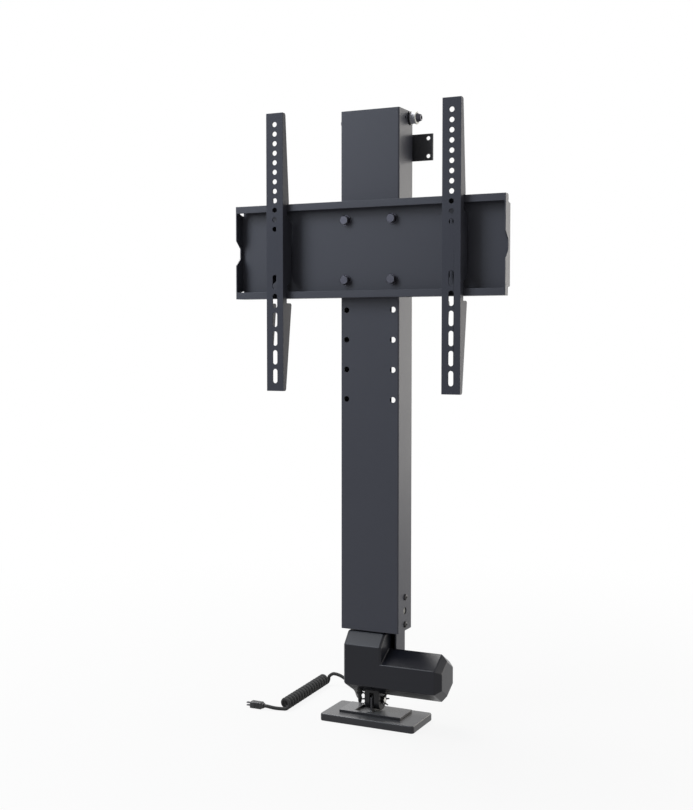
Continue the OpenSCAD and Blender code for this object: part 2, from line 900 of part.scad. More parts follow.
module limit_switch_strip() {
    color(board_green) block(
        [-strip_w / 2, strip_front, strip_z],
        [strip_w / 2, strip_front + strip_t, tube_top - bush_plug_h - strip_top_drop]
    );
}

// Switches just past both ends of the nut's travel
module limit_switches() {
    lower_z = nut_z - switch_gap - switch_h;
    upper_t = spindle_y - push_d / 2 - strip_front - strip_t - slide_gap;
    color(plastic_black) {
        block(
            [-strip_w / 2, strip_front + strip_t, upper_switch_z],
            [strip_w / 2, strip_front + strip_t + upper_t, upper_switch_z + switch_h]
        );
        block(
            [-strip_w / 2, strip_front + strip_t, max(lower_z, strip_z)],
            [strip_w / 2, strip_front + strip_t + lower_switch_t, nut_z - switch_gap]
        );
    }
}

module push_tube() {
    color(zinc_grey) difference() {
        rod_z(push_d, nut_top, crosshead_z + tube_socket);
        rod_z(push_d - 2 * push_t, nut_top - through, crosshead_z + tube_socket + through);
    }
}

// Nut that slides in the square tube, with a notch for the switch strip
module spindle_nut() {
    half = nut_guide_w / 2;
    notch = strip_t + 2;
    color(nylon_white) difference() {
        union() {
            block([-half, spindle_y - half, nut_z], [half, spindle_y + half, nut_top]);
            rod_z(push_d - 2 * push_t - 2 * fit_gap, nut_top, nut_top + nut_spigot_h);
        }
        rod_z(spindle_d + 2 * fit_gap, nut_z - through, nut_top + nut_spigot_h + through);
        block(
            [-strip_w / 2 - 1, spindle_y - half - through, nut_z - through],
            [strip_w / 2 + 1, strip_front + notch, nut_top + through]
        );
    }
}

// Rails and what stands on them

// One rail on the right, its web starting from an edge that follows the housing's top
module rail(seat_edge) {
    web = concat(seat_edge, [
        [half_d, rail_foot_z],
        [rail_back, rail_foot_z],
        [rail_back, rail_top],
        [rail_front, rail_top]
    ]);
    difference() {
        union() {
            along_x(rail_in, rail_x, web);
            block([rail_x - rail_flange, rail_flange_y, rail_foot_z], [rail_in, rail_back, rail_top]);
        }
        for (rise = rail_bolt_rise)
            rod_y(frame_screw_d + 2 * fit_gap, half_d, rail_back + through, frame_screw_x, column_z + rise);
        for (z = glide_screw_z)
            rod_x(small_screw_d + 2 * fit_gap, rail_in - through, rail_x + through, glide_screw_y, z);
    }
}

glide_screw_back = 12;
glide_screw_y = spindle_y + glide_screw_back;
glide_screw_inset = 10;
glide_screw_z = [glide_z + glide_screw_inset, glide_z + glide_h - glide_screw_inset];
glide_screw_tip = wall_in - 5;
bracket_screw_z = [bracket_mid - bracket_hole_pitch / 2, bracket_mid + bracket_hole_pitch / 2];

module rail_left() {
    seat = gearbox_ridge_z + rail_clear;
    color(coat_grey) mirror([1, 0, 0]) rail([
        [rail_front, seat], [roof_half, seat], [half_d, seat - roof_slope * (half_d - roof_half)]
    ]);
}

module rail_right() {
    seat = motor_ridge_z + rail_clear;
    color(coat_grey) difference() {
        rail([[rail_front, seat - slope * rail_front], [half_d, seat - slope * half_d]]);
        for (z = bracket_screw_z) rod_y(
            small_screw_d + 2 * fit_gap, rail_flange_y - through, rail_back + through, frame_screw_x, z
        );
    }
}

// Plate behind the housing that carries both rails
module cross_plate() {
    color(coat_grey) difference() {
        block([-rail_in, cross_plate_y, rail_foot_z], [rail_in, rail_flange_y, cross_plate_top]);
        both_sides() for (rise = rail_bolt_rise)
            rod_y(
                frame_screw_d + 2 * fit_gap, half_d - through, rail_back, frame_screw_x, column_z + rise
            );
        for (at = cross_screws_at)
            rod_y(small_screw_d + 2 * fit_gap, half_d - through, rail_flange_y + through, at[0], at[1]);
    }
}

module rail_bolts() {
    color(zinc_grey) both_sides() for (rise = rail_bolt_rise) {
        rod_y(frame_screw_d, cross_plate_y, rail_back, frame_screw_x, column_z + rise);
        hex_y(frame_head_d - 1, rail_back, rail_back + frame_head_t, frame_screw_x, column_z + rise);
    }
}

module cross_plate_screws() {
    color(zinc_grey) for (at = cross_screws_at) {
        rod_y(small_screw_d, half_d - screw_tip + 1, rail_flange_y, at[0], at[1]);
        rod_y(small_head_d, rail_flange_y, rail_flange_y + small_head_t, at[0], at[1]);
    }
}

module wall_bracket() {
    color(coat_grey) difference() {
        block(
            [rail_x - rail_flange, rail_back, bracket_z],
            [bracket_reach, rail_back + bracket_t, bracket_z + bracket_h]
        );
        for (z = bracket_screw_z) {
            rod_y(bracket_hole_d, rail_back - through, rail_back + bracket_t + through, bracket_hole_x, z);
            rod_y(
                small_screw_d + 2 * fit_gap, rail_back - through, rail_back + bracket_t + through,
                frame_screw_x, z
            );
        }
    }
}

module bracket_screws() {
    back = rail_back + bracket_t;
    color(zinc_grey) for (z = bracket_screw_z) {
        rod_y(small_screw_d, rail_flange_y, back, frame_screw_x, z);
        rod_y(small_head_d, back, back + small_head_t, frame_screw_x, z);
    }
}

// Glide on the rail's outer face that runs inside the column's wall
module top_glide() {
    difference() {
        block(
            [rail_x, glide_front, glide_z],
            [wall_in - slide_gap, return_front - slide_gap, glide_z + glide_h]
        );
        for (z = glide_screw_z)
            rod_x(small_screw_d + 2 * fit_gap, rail_x - through, glide_screw_tip + through, glide_screw_y, z);
    }
}

module top_glide_left() {
    color(nylon_white) mirror([1, 0, 0]) top_glide();
}

module top_glide_right() {
    color(nylon_white) top_glide();
}

module glide_screws() {
    color(zinc_grey) both_sides() for (z = glide_screw_z) {
        rod_x(small_screw_d, rail_in, glide_screw_tip, glide_screw_y, z);
        rod_x(small_head_d, rail_in - small_head_t, rail_in, glide_screw_y, z);
    }
}

// Cord

module cord_gland() {
    collar_top = gland[2] + gland_collar_h;
    color(plastic_black) translate([gland[0], gland[1], 0]) rotate_extrude() polygon([
        [0, gland[2]], [gland_tip_d / 2, gland[2]], [gland_collar_d / 2, collar_top - 2],
        [gland_collar_d / 2, collar_top], [gland_neck_d / 2, collar_top], [gland_neck_d / 2, gland_top],
        [0, gland_top]
    ]);
}

// Curls of the cord, lying on the floor
coil_axis = [cos(coil_turn), sin(coil_turn), 0];
coil_side = [sin(coil_turn), -cos(coil_turn), 0];
coil_z = curl_r + cord_d / 2 + coil_lift;
function curl_point(turn) = [coil_start[0], coil_start[1], coil_z] + turn * curl_pitch * coil_axis
    + curl_r * (sin(360 * turn) * coil_side - cos(360 * turn) * [0, 0, 1]);
curls = [
    for (i = [0 : (curl_turns + end_turn) * coil_steps])
        curl_point(i / coil_steps)
];
curl_slope = curl_pitch / (2 * PI * curl_r);
function curl_heading(turn) = unit(
    curl_slope * coil_axis + sin(360 * turn) * [0, 0, 1] + cos(360 * turn) * coil_side
);
coil_in = curls[0] - cord_join * curl_heading(0);
coil_out = curls[len(curls) - 1] + cord_join * curl_heading(end_turn);
coil_route = concat([coil_in], curls, [coil_out]);
curl_gap = min([
    for (i = [0 : len(curls) - 1]) for (j = [i + coil_steps / 2 : 1 : len(curls) - 1])
        norm(curls[i] - curls[j])
]) - cord_d;

module cord_coil() {
    echo(least_gap_between_curls = curl_gap);
    color(plastic_black) skin(tube_rings(coil_route, cord_d, cord_sides, coil_axis));
}

// Free stretch from the curls up to the gland, its first points set by the curls' end
lead_start = coil_out + cord_join * curl_heading(end_turn);
lead_points = concat([coil_out, lead_start], lead_route, [[gland[0], gland[1], gland[2]]]);
lead_hint = [0.64, 0.77, 0];
module cord_lead() {
    color(plastic_black) skin(tube_rings(lead_points, cord_d, tube_sides, lead_hint));
}

// Free stretch from the plug to the curls
tail_end = coil_in - cord_join * curl_heading(0);
tail_points = concat(
    [coil_in, tail_end], tail_route, [plug_entry + [cord_d, 0, 0], plug_entry]
);
module cord_tail() {
    color(plastic_black) skin(tube_rings(tail_points, cord_d, tube_sides, [0, 0, 1]));
}

// Moulded plug lying on the floor, narrower where the cord enters it
module cord_plug() {
    z = plug_entry[2];
    outline = [
        [0, -plug_neck / 2], [-plug_neck / 2, -plug_w / 2], [-plug_l, -plug_w / 2],
        [-plug_l, plug_w / 2], [-plug_neck / 2, plug_w / 2], [0, plug_neck / 2]
    ];
    color(plastic_black) translate([plug_entry[0], plug_entry[1], z - plug_h / 2])
        linear_extrude(plug_h) polygon(outline);
}

module plug_pins() {
    x = plug_entry[0] - plug_l;
    color(zinc_grey) for (side = [-1, 1]) {
        z = plug_entry[2] + side * prong_gap / 2;
        block(
            [x - prong_l, plug_entry[1] - prong_w / 2, z - prong_t / 2],
            [x, plug_entry[1] + prong_w / 2, z + prong_t / 2]
        );
    }
}

// Column and what rides in it

module column_profile() {
    difference() {
        round_rect([-column_w / 2, column_front], [column_w / 2, column_back], bend_r);
        round_rect([-wall_in, column_in], [wall_in, return_front], max(bend_r - sheet, 0.2));
        translate([-wall_in + return_w, return_front - through])
            square([2 * (wall_in - return_w), sheet + 2 * through]);
    }
}

module outer_column() {
    color(coat_grey) difference() {
        translate([0, 0, column_z]) linear_extrude(column_h) column_profile();
        for (row = [0 : hole_rows - 1]) both_sides()
            rod_y(
                hole_d, column_front - through, column_in + through, hole_span / 2,
                column_top - hole_drop - row * hole_pitch
            );
        both_sides() {
            rod_x(side_hole_d, wall_in - through, column_w, side_hole_y, column_z + side_hole_rise);
            for (rise = slider_screw_rise)
                rod_x(small_screw_d + 2 * fit_gap, wall_in - through, column_w, side_hole_y, column_z + rise);
            rod_x(sight_hole_d, wall_in - through, column_w, spindle_y, column_top - sight_hole_drop);
            rod_x(shaft_d + 2 * fit_gap, wall_in - through, column_w, shaft_y, shaft_z);
        }
    }
}

module column_cap() {
    color(coat_grey) difference() {
        translate([0, 0, crosshead_top]) linear_extrude(cap_t)
            round_rect([-wall_in, column_in], [wall_in, return_front], max(bend_r - sheet, 0.2));
        both_sides()
            rod_z(cap_screw_d + 2 * fit_gap, crosshead_top - through, column_top + through, cap_screw_x);
    }
}

module cap_screws() {
    color(zinc_grey) both_sides() {
        rod_z(cap_screw_d, crosshead_top - cap_screw_l, column_top, cap_screw_x);
        rod_z(2 * cap_screw_d, column_top, column_top + 0.5 * cap_screw_d, cap_screw_x);
    }
}

module crosshead() {
    color(coat_grey) difference() {
        translate([0, 0, crosshead_z]) linear_extrude(crosshead_h)
            round_rect(
                [-wall_in, column_in], [wall_in, return_front], max(bend_r - sheet, 0.2)
            );
        rod_z(push_d + 2 * fit_gap, crosshead_z - through, crosshead_z + tube_socket);
        rod_x(shaft_d + 2 * fit_gap, -column_w, column_w, shaft_y, shaft_z);
        both_sides()
            rod_z(
                cap_screw_d + 2 * fit_gap, crosshead_top - cap_screw_l - 1, crosshead_top + through,
                cap_screw_x
            );
    }
}

// Cross shaft and the stack on each of its ends
shaft_half = column_w / 2 + collar_t + bush_l + washer_t;
module cross_shaft() {
    color(zinc_grey) rod_x(shaft_d, -shaft_half, shaft_half, shaft_y, shaft_z);
}

// Ring on the right end of the shaft, and the same on the left
module shaft_rings(d, from, to) {
    both_sides() difference() {
        rod_x(d, from, to, shaft_y, shaft_z);
        rod_x(shaft_d + 2 * fit_gap, from - through, to + through, shaft_y, shaft_z);
    }
}

module shaft_collars() {
    color(plastic_black) shaft_rings(collar_d, column_w / 2, column_w / 2 + collar_t);
}

module shaft_bushes() {
    start = column_w / 2 + collar_t;
    color(zinc_grey) shaft_rings(bush_d, start, start + bush_l);
}

module shaft_washers() {
    color(nylon_white) shaft_rings(washer_d, shaft_half - washer_t, shaft_half);
}

module shaft_end_screws() {
    color(plastic_black) both_sides() difference() {
        translate([shaft_half, shaft_y, shaft_z]) rotate([0, 90, 0])
            cylinder(d1 = end_head_d, d2 = end_head_d - 2 * end_taper, h = end_head_l);
        rod_x(
            end_recess_d, shaft_half + end_head_l - end_recess_l, shaft_half + end_head_l + through,
            shaft_y, shaft_z
        );
    }
}

// Nylon slider screwed inside the column, grooved to run on the rail's front edge
module slider() {
    difference() {
        block([slider_in, slider_front, slider_z], [wall_in, return_front, slider_z + slider_h]);
        block(
            [rail_in - slide_gap, rail_front - slide_gap, slider_z - through],
            [rail_x + slide_gap, return_front + through, slider_z + slider_h + through]
        );
        for (rise = slider_screw_rise)
            rod_x(small_screw_d + 2 * fit_gap, rail_x, wall_in + through, side_hole_y, column_z + rise);
    }
}

module slider_left() {
    color(nylon_white) mirror([1, 0, 0]) slider();
}

module slider_right() {
    color(nylon_white) slider();
}

slider_head_d = 10.5;
slider_head_t = 3;
module slider_screws() {
    color(plastic_black) both_sides() for (rise = slider_screw_rise) {
        rod_x(small_screw_d, rail_x + 2, column_w / 2, side_hole_y, column_z + rise);
        translate([column_w / 2, side_hole_y, column_z + rise]) rotate([0, 90, 0])
            cylinder(d1 = slider_head_d, d2 = slider_head_d - 4, h = slider_head_t);
    }
}

// Screen plate and arms

// End flange of the tray in Y and Z, with a notch in its front edge
module plate_end() {
    back = plate_back;
    notch_y = lip_front + end_notch_depth;
    along_x(plate_w / 2 - sheet, plate_w / 2, [
        [back, plate_z], [back, plate_top],
        [lip_front, plate_top], [lip_front, plate_mid_z + end_notch_mouth / 2],
        [notch_y, plate_mid_z + end_notch_floor / 2], [notch_y, plate_mid_z - end_notch_floor / 2],
        [lip_front, plate_mid_z - end_notch_mouth / 2], [lip_front, plate_z]
    ]);
}

// Bend relief cut out of the tray's rear corner at one end, above or below its middle
module plate_relief(way) {
    front = lip_front + end_front_depth;
    back = plate_back + through;
    edge = plate_h / 2;
    along_x(plate_w / 2 - end_relief_w, plate_w / 2 + through, [
        for (at = [
            [front, edge + through], [front, edge - end_relief_h],
            [back, edge - end_relief_h - end_relief_fall], [back, edge + through]
        ]) [at[0], plate_mid_z + way * at[1]]
    ]);
}

module screen_plate() {
    half = plate_w / 2;
    color(coat_grey) difference() {
        union() {
            block([-half, panel_front, plate_z], [half, plate_back, plate_top]);
            for (z = [plate_z, plate_top - sheet])
                block([-half, lip_front, z], [half, panel_front, z + sheet]);
            for (z = [plate_z, plate_top - lip_h])
                block([-half, lip_front, z], [half, lip_front + sheet, z + lip_h]);
            both_sides() plate_end();
        }
        both_sides() for (way = [-1, 1]) plate_relief(way);
        for (row = bolt_rows) both_sides()
            rod_y(
                hole_d, panel_front - through, plate_back + through, hole_span / 2,
                column_top - hole_drop - row * hole_pitch
            );
    }
}

// Repeats its children at the four screen plate bolts
module at_bolts() {
    for (row = bolt_rows) for (side = [-1, 1])
        translate([side * hole_span / 2, 0, column_top - hole_drop - row * hole_pitch]) children();
}

washer_front = panel_front - flat_washer_t;
head_back = washer_front - spring_washer_t;
module plate_bolts() {
    color(coat_grey) at_bolts() {
        hex_y(bolt_flats, head_back - bolt_head_h, head_back, 0, 0);
        rod_y(bolt_d, head_back, column_in + nut_t + bolt_tip, 0, 0);
    }
}

module plate_washers() {
    color(coat_grey) at_bolts() {
        difference() {
            rod_y(flat_washer_d, washer_front, panel_front, 0, 0);
            rod_y(bolt_d + 2 * fit_gap, washer_front - through, panel_front + through, 0, 0);
        }
        difference() {
            rod_y(spring_washer_d, head_back, washer_front, 0, 0);
            rod_y(bolt_d + 2 * fit_gap, head_back - through, washer_front + through, 0, 0);
        }
    }
}

module plate_nuts() {
    color(zinc_grey) at_bolts() difference() {
        hex_y(bolt_flats, column_in, column_in + nut_t, 0, 0);
        rod_y(bolt_d + 2 * fit_gap, column_in - through, column_in + nut_t + through, 0, 0);
    }
}

// Side flange of an arm in Y and Z, from its front face back
function arm_flange() = let (
    hook = lip_front + arm_hook,
    tail_hook = lip_front + arm_tail_hook,
    front = arm_front,
    seat = lip_front - arm_clear,
    tab = panel_front - arm_tab_gap,
    tab_top = plate_top - arm_tab_margin,
    tab_low = plate_z + arm_tab_margin,
    hook_z = plate_top + slide_gap,
    relief_low = plate_z - slide_gap - arm_relief_h
) [
    [front, arm_z], [front, arm_top],
    [front + arm_tip_depth - arm_corner, arm_top], [front + arm_tip_depth, arm_top - arm_corner],
    [hook, hook_z + arm_corner], [hook - arm_corner / 2, hook_z], [seat, hook_z],
    [seat, tab_top], [tab, tab_top - arm_tab_slope], [tab, tab_low + arm_tab_slope], [seat, tab_low],
    [seat, relief_low], [tail_hook - arm_corner, relief_low], [tail_hook, relief_low - arm_corner],
    [front + arm_tail_depth, arm_z + arm_corner], [front + arm_tail_depth - arm_corner, arm_z]
];

// Slot through an arm's front face, upright
module arm_slot(z) {
    reach = (arm_slot_l - arm_hole_d) / 2;
    front = arm_front - through;
    back = arm_front + sheet + through;
    for (end = [-reach, reach]) rod_y(arm_hole_d, front, back, 0, z + end);
    block([-arm_hole_d / 2, front, z - reach], [arm_hole_d / 2, back, z + reach]);
}

module arm() {
    difference() {
        union() {
            block([-arm_w / 2, arm_front, arm_z], [arm_w / 2, arm_front + sheet, arm_top]);
            both_sides() along_x(arm_w / 2 - sheet, arm_w / 2, arm_flange());
        }
        for (i = [0 : arm_holes - 1])
            rod_y(
                arm_hole_d, arm_front - through, arm_front + sheet + through, 0,
                arm_top - arm_hole_drop - i * arm_hole_pitch
            );
        for (i = [0 : arm_slots - 1]) arm_slot(arm_z + arm_slot_lift + i * arm_slot_pitch);
    }
}

module arm_left() {
    color(coat_grey) translate([-arm_spacing / 2, 0, 0]) arm();
}

module arm_right() {
    color(coat_grey) translate([arm_spacing / 2, 0, 0]) arm();
}

foot_pad();
foot_plate();
clevis_fork();
clevis_pin();
pin_clips();
housing_front();
housing_rear();
housing_screws();
motor_can();
motor_end_cap();
motor_bearing();
thrust_bearing();
spindle_bearing();
actuator_tube();
tube_top_bush();
limit_switch_strip();
limit_switches();
rail_left();
rail_right();
cross_plate();
rail_bolts();
cross_plate_screws();
wall_bracket();
bracket_screws();
top_glide_left();
top_glide_right();
glide_screws();
cord_gland();
cord_lead();
cord_coil();
cord_tail();
cord_plug();
plug_pins();
spindle();
worm_wheel();
worm_shaft();
outer_column();
column_cap();
cap_screws();
push_tube();
spindle_nut();
crosshead();
cross_shaft();
shaft_collars();
shaft_bushes();
shaft_washers();
shaft_end_screws();
slider_left();
slider_right();
slider_screws();
screen_plate();
plate_bolts();
plate_washers();
plate_nuts();
arm_left();
arm_right();
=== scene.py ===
"""Looks of a motorised television lift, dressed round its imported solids."""
import logging
import math
from dataclasses import dataclass, field
from enum import Enum
from functools import cache
from typing import Callable, Iterable, Optional, Sequence, Union

import bmesh
import bpy
from bpy.types import Material, NodeSocket, NodeTree, Object
from mathutils import Matrix, Vector


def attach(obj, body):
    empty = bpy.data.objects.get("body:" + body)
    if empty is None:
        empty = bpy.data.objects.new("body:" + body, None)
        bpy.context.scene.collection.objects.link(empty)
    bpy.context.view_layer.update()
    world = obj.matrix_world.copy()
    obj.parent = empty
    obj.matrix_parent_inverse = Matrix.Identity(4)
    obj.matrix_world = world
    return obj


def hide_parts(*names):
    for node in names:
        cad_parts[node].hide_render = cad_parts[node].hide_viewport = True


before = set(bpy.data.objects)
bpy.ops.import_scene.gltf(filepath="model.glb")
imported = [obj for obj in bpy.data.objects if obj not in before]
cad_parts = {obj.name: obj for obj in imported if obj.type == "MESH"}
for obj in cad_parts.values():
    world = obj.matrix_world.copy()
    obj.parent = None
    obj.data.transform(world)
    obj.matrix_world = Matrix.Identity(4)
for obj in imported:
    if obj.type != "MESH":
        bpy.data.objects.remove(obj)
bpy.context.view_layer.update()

LOG = logging.getLogger("television_lift")
MM = 0.001
BREAK_ANGLE = math.radians(28)
CREASE_ANGLE = math.radians(32)
FLAT_ANGLE = math.radians(0.6)
SEAM_SLACK = 0.1 * MM
WELD_GAP = 1e-6
TINY = 1e-9
CROSS_RATIO = 9
AREA_WEIGHT = 100

Colour = tuple[float, float, float]
Point = Sequence[float]
Reach = Union[float, Callable[[float], float]]
Ring = tuple[Reach, Reach]


def linear(colour: Colour) -> tuple[float, float, float, float]:
    """Turns a display colour into scene light.

    Args:
        colour: Red, green and blue as shown on a screen, 0 to 255.

    Returns:
        The linear colour with an alpha of 1.
    """
    def channel(shown: float) -> float:
        """One channel, from display to scene light."""
        share = shown / 255
        return share / 12.92 if share <= 0.04045 else ((share + 0.055) / 1.055) ** 2.4

    return (*(channel(c) for c in colour), 1.0)


def scaled(colour: Sequence[float], share: float) -> tuple[float, float, float, float]:
    """A linear colour made darker or lighter by a share."""
    return (*(min(c * share, 1.0) for c in colour[:3]), 1.0)


class Sock:
    """A node's output socket, so that shader maths reads as Python."""

    def __init__(self, graph: "Graph", socket: NodeSocket) -> None:
        """Keeps the socket and the graph that it belongs to."""
        self.graph = graph
        self.socket = socket

    def _math(self, operation: str, first: "Input", second: "Input") -> "Sock":
        """Adds one Math node on two values."""
        return self.graph.node("ShaderNodeMath", {"operation": operation}, {0: first, 1: second})

    def __add__(self, other: "Input") -> "Sock":
        """This value plus another."""
        return self._math("ADD", self, other)

    def __radd__(self, other: "Input") -> "Sock":
        """Another value plus this one."""
        return self._math("ADD", other, self)

    def __sub__(self, other: "Input") -> "Sock":
        """This value less another."""
        return self._math("SUBTRACT", self, other)

    def __mul__(self, other: "Input") -> "Sock":
        """This value times another."""
        return self._math("MULTIPLY", self, other)


Input = Union[Sock, float, bool, str, Sequence[float]]


class Graph:
    """A node tree that is being filled."""

    def __init__(self, tree: NodeTree) -> None:
        """Starts from an empty tree."""
        self.tree = tree
        tree.nodes.clear()

    def node(
        self,
        kind: str,
        settings: Optional[dict] = None,
        inputs: Optional[dict] = None,
        out: Union[int, str] = 0,
    ) -> Optional[Sock]:
        """Adds a node.

        Args:
            kind: The node's type name.
            settings: Properties that are set first.
            inputs: Values or links by socket name or number.
            out: The output to hand back.

        Returns:
            The chosen output, or None where the node has no outputs.
        """
        made = self.tree.nodes.new(kind)
        for name, value in (settings or {}).items():
            setattr(made, name, value)
        for key, value in (inputs or {}).items():
            if isinstance(value, Sock):
                self.tree.links.new(value.socket, made.inputs[key])
            else:
                made.inputs[key].default_value = value
        return Sock(self, made.outputs[out]) if len(made.outputs) else None

    def noise(self, place: Sock, scale: float, detail: float = 2.0) -> Sock:
        """Soft noise from 0 to 1 at so many waves a metre."""
        return self.node(
            "ShaderNodeTexNoise", None, {"Vector": place, "Scale": scale, "Detail": detail}
        )

    def stretch(self, place: Sock, scale: Point) -> Sock:
        """The same places with each axis stretched."""
        return self.node("ShaderNodeVectorMath", {"operation": "MULTIPLY"}, {0: place, 1: scale})

    def mix(self, share: Input, first: Input, second: Input) -> Sock:
        """A colour between two, by a share from 0 to 1."""
        return self.node(
            "ShaderNodeMix", {"data_type": "RGBA"}, {0: share, 6: first, 7: second}, out=2
        )

    def upward(self) -> Sock:
        """Tells how far the surface looks up.

        Returns:
            0 on a wall, up to 1 on a level top.
        """
        normal = self.node("ShaderNodeNewGeometry", out="Normal")
        height = self.node("ShaderNodeSeparateXYZ", None, {0: normal}, out="Z")
        level = self.node("ShaderNodeClamp", None, {"Value": height})
        return level * level

    def bump(self, height: Sock, depth: float) -> Sock:
        """A normal that follows a height map of that depth in metres."""
        return self.node(
            "ShaderNodeBump", None, {"Strength": 1.0, "Distance": depth, "Height": height}
        )


@dataclass(frozen=True)
class Finish:
    """A surface finish, made into one node material when it is first used."""

    name: str
    colour: Colour
    roughness: float
    drift: float = 0.07
    drift_scale: float = 7.0
    grain: float = 1500.0
    grain_depth: float = 0.02 * MM
    fleck_share: float = 0.25
    fleck_rough: float = 0.12
    drift_rough: float = 0.1
    gloss: float = 0.5
    # Painted light: the share and colour toward which faces that look up are lightened, standing
    # in for light from above.
    painted_top_light: float = 0.0
    painted_top_colour: Colour = (150, 150, 150)

    def material(self) -> Material:
        """Builds the finish's material, or finds the one built before.

        Returns:
            The material.
        """
        made = bpy.data.materials.get(self.name)
        if made is None:
            made = bpy.data.materials.new(self.name)
            made.use_nodes = True
            graph = Graph(made.node_tree)
            place = graph.node("ShaderNodeTexCoord", out="Object")
            inputs = {**self.constants(), **self.surface(graph, place)}
            shader = graph.node("ShaderNodeBsdfPrincipled", None, inputs)
            graph.node("ShaderNodeOutputMaterial", None, {"Surface": shader})
        return made

    def constants(self) -> dict:
        """Shader values that are the same all over the surface."""
        return {"Specular IOR Level": self.gloss}

    def surface(self, graph: Graph, place: Sock) -> dict:
        """Shader inputs that change over the surface.

        Args:
            graph: The material's graph.
            place: Places on the piece, in metres.

        Returns:
            Sockets by the shader's input name.
        """
        base = linear(self.colour)
        wander = graph.noise(place, self.drift_scale)
        fleck = graph.noise(place, self.grain, 1.0)
        share = wander * (1 - self.fleck_share) + fleck * self.fleck_share
        colour = graph.mix(share, scaled(base, 1 - self.drift), scaled(base, 1 + self.drift))
        # Painted light from above: faces that look up are mixed toward a lighter colour.
        if self.painted_top_light:
            colour = graph.mix(graph.upward() * self.painted_top_light, colour, linear(self.painted_top_colour))
        rough = (fleck - 0.5) * self.fleck_rough + (wander - 0.5) * self.drift_rough
        return {
            "Base Color": colour,
            "Roughness": self.roughness + rough,
            "Normal": graph.bump(self.relief(graph, place), self.grain_depth),
        }

    def relief(self, graph: Graph, place: Sock) -> Sock:
        """Height map of the surface's fine grain."""
        return graph.noise(place, self.grain, 1.0)


@dataclass(frozen=True)
class PowderCoat(Finish):
    """Baked powder coat: fine orange peel with a satin sheen."""

    grain_depth: float = 0.03 * MM
    peel: float = 420.0
    peel_share: float = 0.6

    def relief(self, graph: Graph, place: Sock) -> Sock:
        """The coat's slow peel under its fine grain."""
        peel, fine = graph.noise(place, self.peel, 1.0), graph.noise(place, self.grain)
        return peel * self.peel_share + fine * (1 - self.peel_share)


@dataclass(frozen=True)
class MouldedPlastic(Finish):
    """Injection-moulded plastic with a spark-eroded texture."""

    cells: float = 1300.0
    pit_share: float = 0.5

    def relief(self, graph: Graph, place: Sock) -> Sock:
        """The pits of the mould's eroded skin with its fine grain."""
        pits = graph.node("ShaderNodeTexVoronoi", None, {"Vector": place, "Scale": self.cells})
        return pits * self.pit_share + graph.noise(place, self.grain) * (1 - self.pit_share)


@dataclass(frozen=True)
class Metal(Finish):
    """Bare or plated metal, drawn or turned along one axis."""

    tint: Colour = (190, 186, 176)
    drawn: Point = (1.0, 1.0, 0.06)
    cloud_scale: float = 56.0
    line_share: float = 0.2
    line_rough: float = 0.2

    def constants(self) -> dict:
        """Metal all over."""
        return {"Metallic": 1.0}

    def surface(self, graph: Graph, place: Sock) -> dict:
        """Adds the fine lines that drawing or turning leaves.

        Args:
            graph: The material's graph.
            place: Places on the piece, in metres.

        Returns:
            Sockets by the shader's input name.
        """
        lines = graph.noise(graph.stretch(place, self.drawn), self.grain, 3.0)
        cloud = graph.noise(place, self.cloud_scale)
        share = cloud * (1 - self.line_share) + lines * self.line_share
        return {
            "Base Color": graph.mix(share, linear(self.colour), linear(self.tint)),
            "Roughness": self.roughness + (lines - 0.5) * self.line_rough,
            "Normal": graph.bump(lines, self.grain_depth),
        }


@dataclass(frozen=True)
class Nylon(Finish):
    """Cast nylon, a little translucent."""

    glow: float = 0.15
    glow_reach: Point = (1.0, 0.9, 0.8)
    glow_depth: float = 2 * MM

    def constants(self) -> dict:
        """A touch of light through the plastic."""
        return {
            **super().constants(),
            "Subsurface Weight": self.glow,
            "Subsurface Radius": self.glow_reach,
            "Subsurface Scale": self.glow_depth,
        }


@dataclass(frozen=True)
class Board(Finish):
    """Circuit board with copper tracks under its lacquer."""

    track: Colour = (96, 150, 96)
    track_pitch: float = 420.0
    track_wander: float = 1.5

    def surface(self, graph: Graph, place: Sock) -> dict:
        """Adds tracks along the board.

        Args:
            graph: The material's graph.
            place: Places on the piece, in metres.

        Returns:
            Sockets by the shader's input name.
        """
        made = super().surface(graph, place)
        tracks = graph.node(
            "ShaderNodeTexWave",
            {"bands_direction": "X"},
            {"Vector": place, "Scale": self.track_pitch, "Distortion": self.track_wander},
        )
        made["Base Color"] = graph.mix(tracks, linear(self.colour), linear(self.track))
        return made


COAT = PowderCoat("slate_powder_coat", (62, 63, 70), 0.42, gloss=0.2)
ARM_COAT = PowderCoat("arm_powder_coat", (62, 63, 70), 0.46, gloss=0.1)
BLACK_COAT = PowderCoat("black_powder_coat", (24, 24, 26), 0.4, gloss=0.25)
BRACKET_COAT = PowderCoat("bracket_powder_coat", (60, 60, 63), 0.4, gloss=0.25)
HOUSING_SKIN = MouldedPlastic(
    "housing_plastic", (21, 22, 29), 0.32, grain_depth=0.012 * MM, gloss=0.26
)
# The pad's top carries painted light from above, set by the share after its roughness.
PAD_SKIN = MouldedPlastic(
    "foot_plastic", (34, 34, 38), 0.3, grain_depth=0.01 * MM, gloss=0.34, painted_top_light=0.17
)
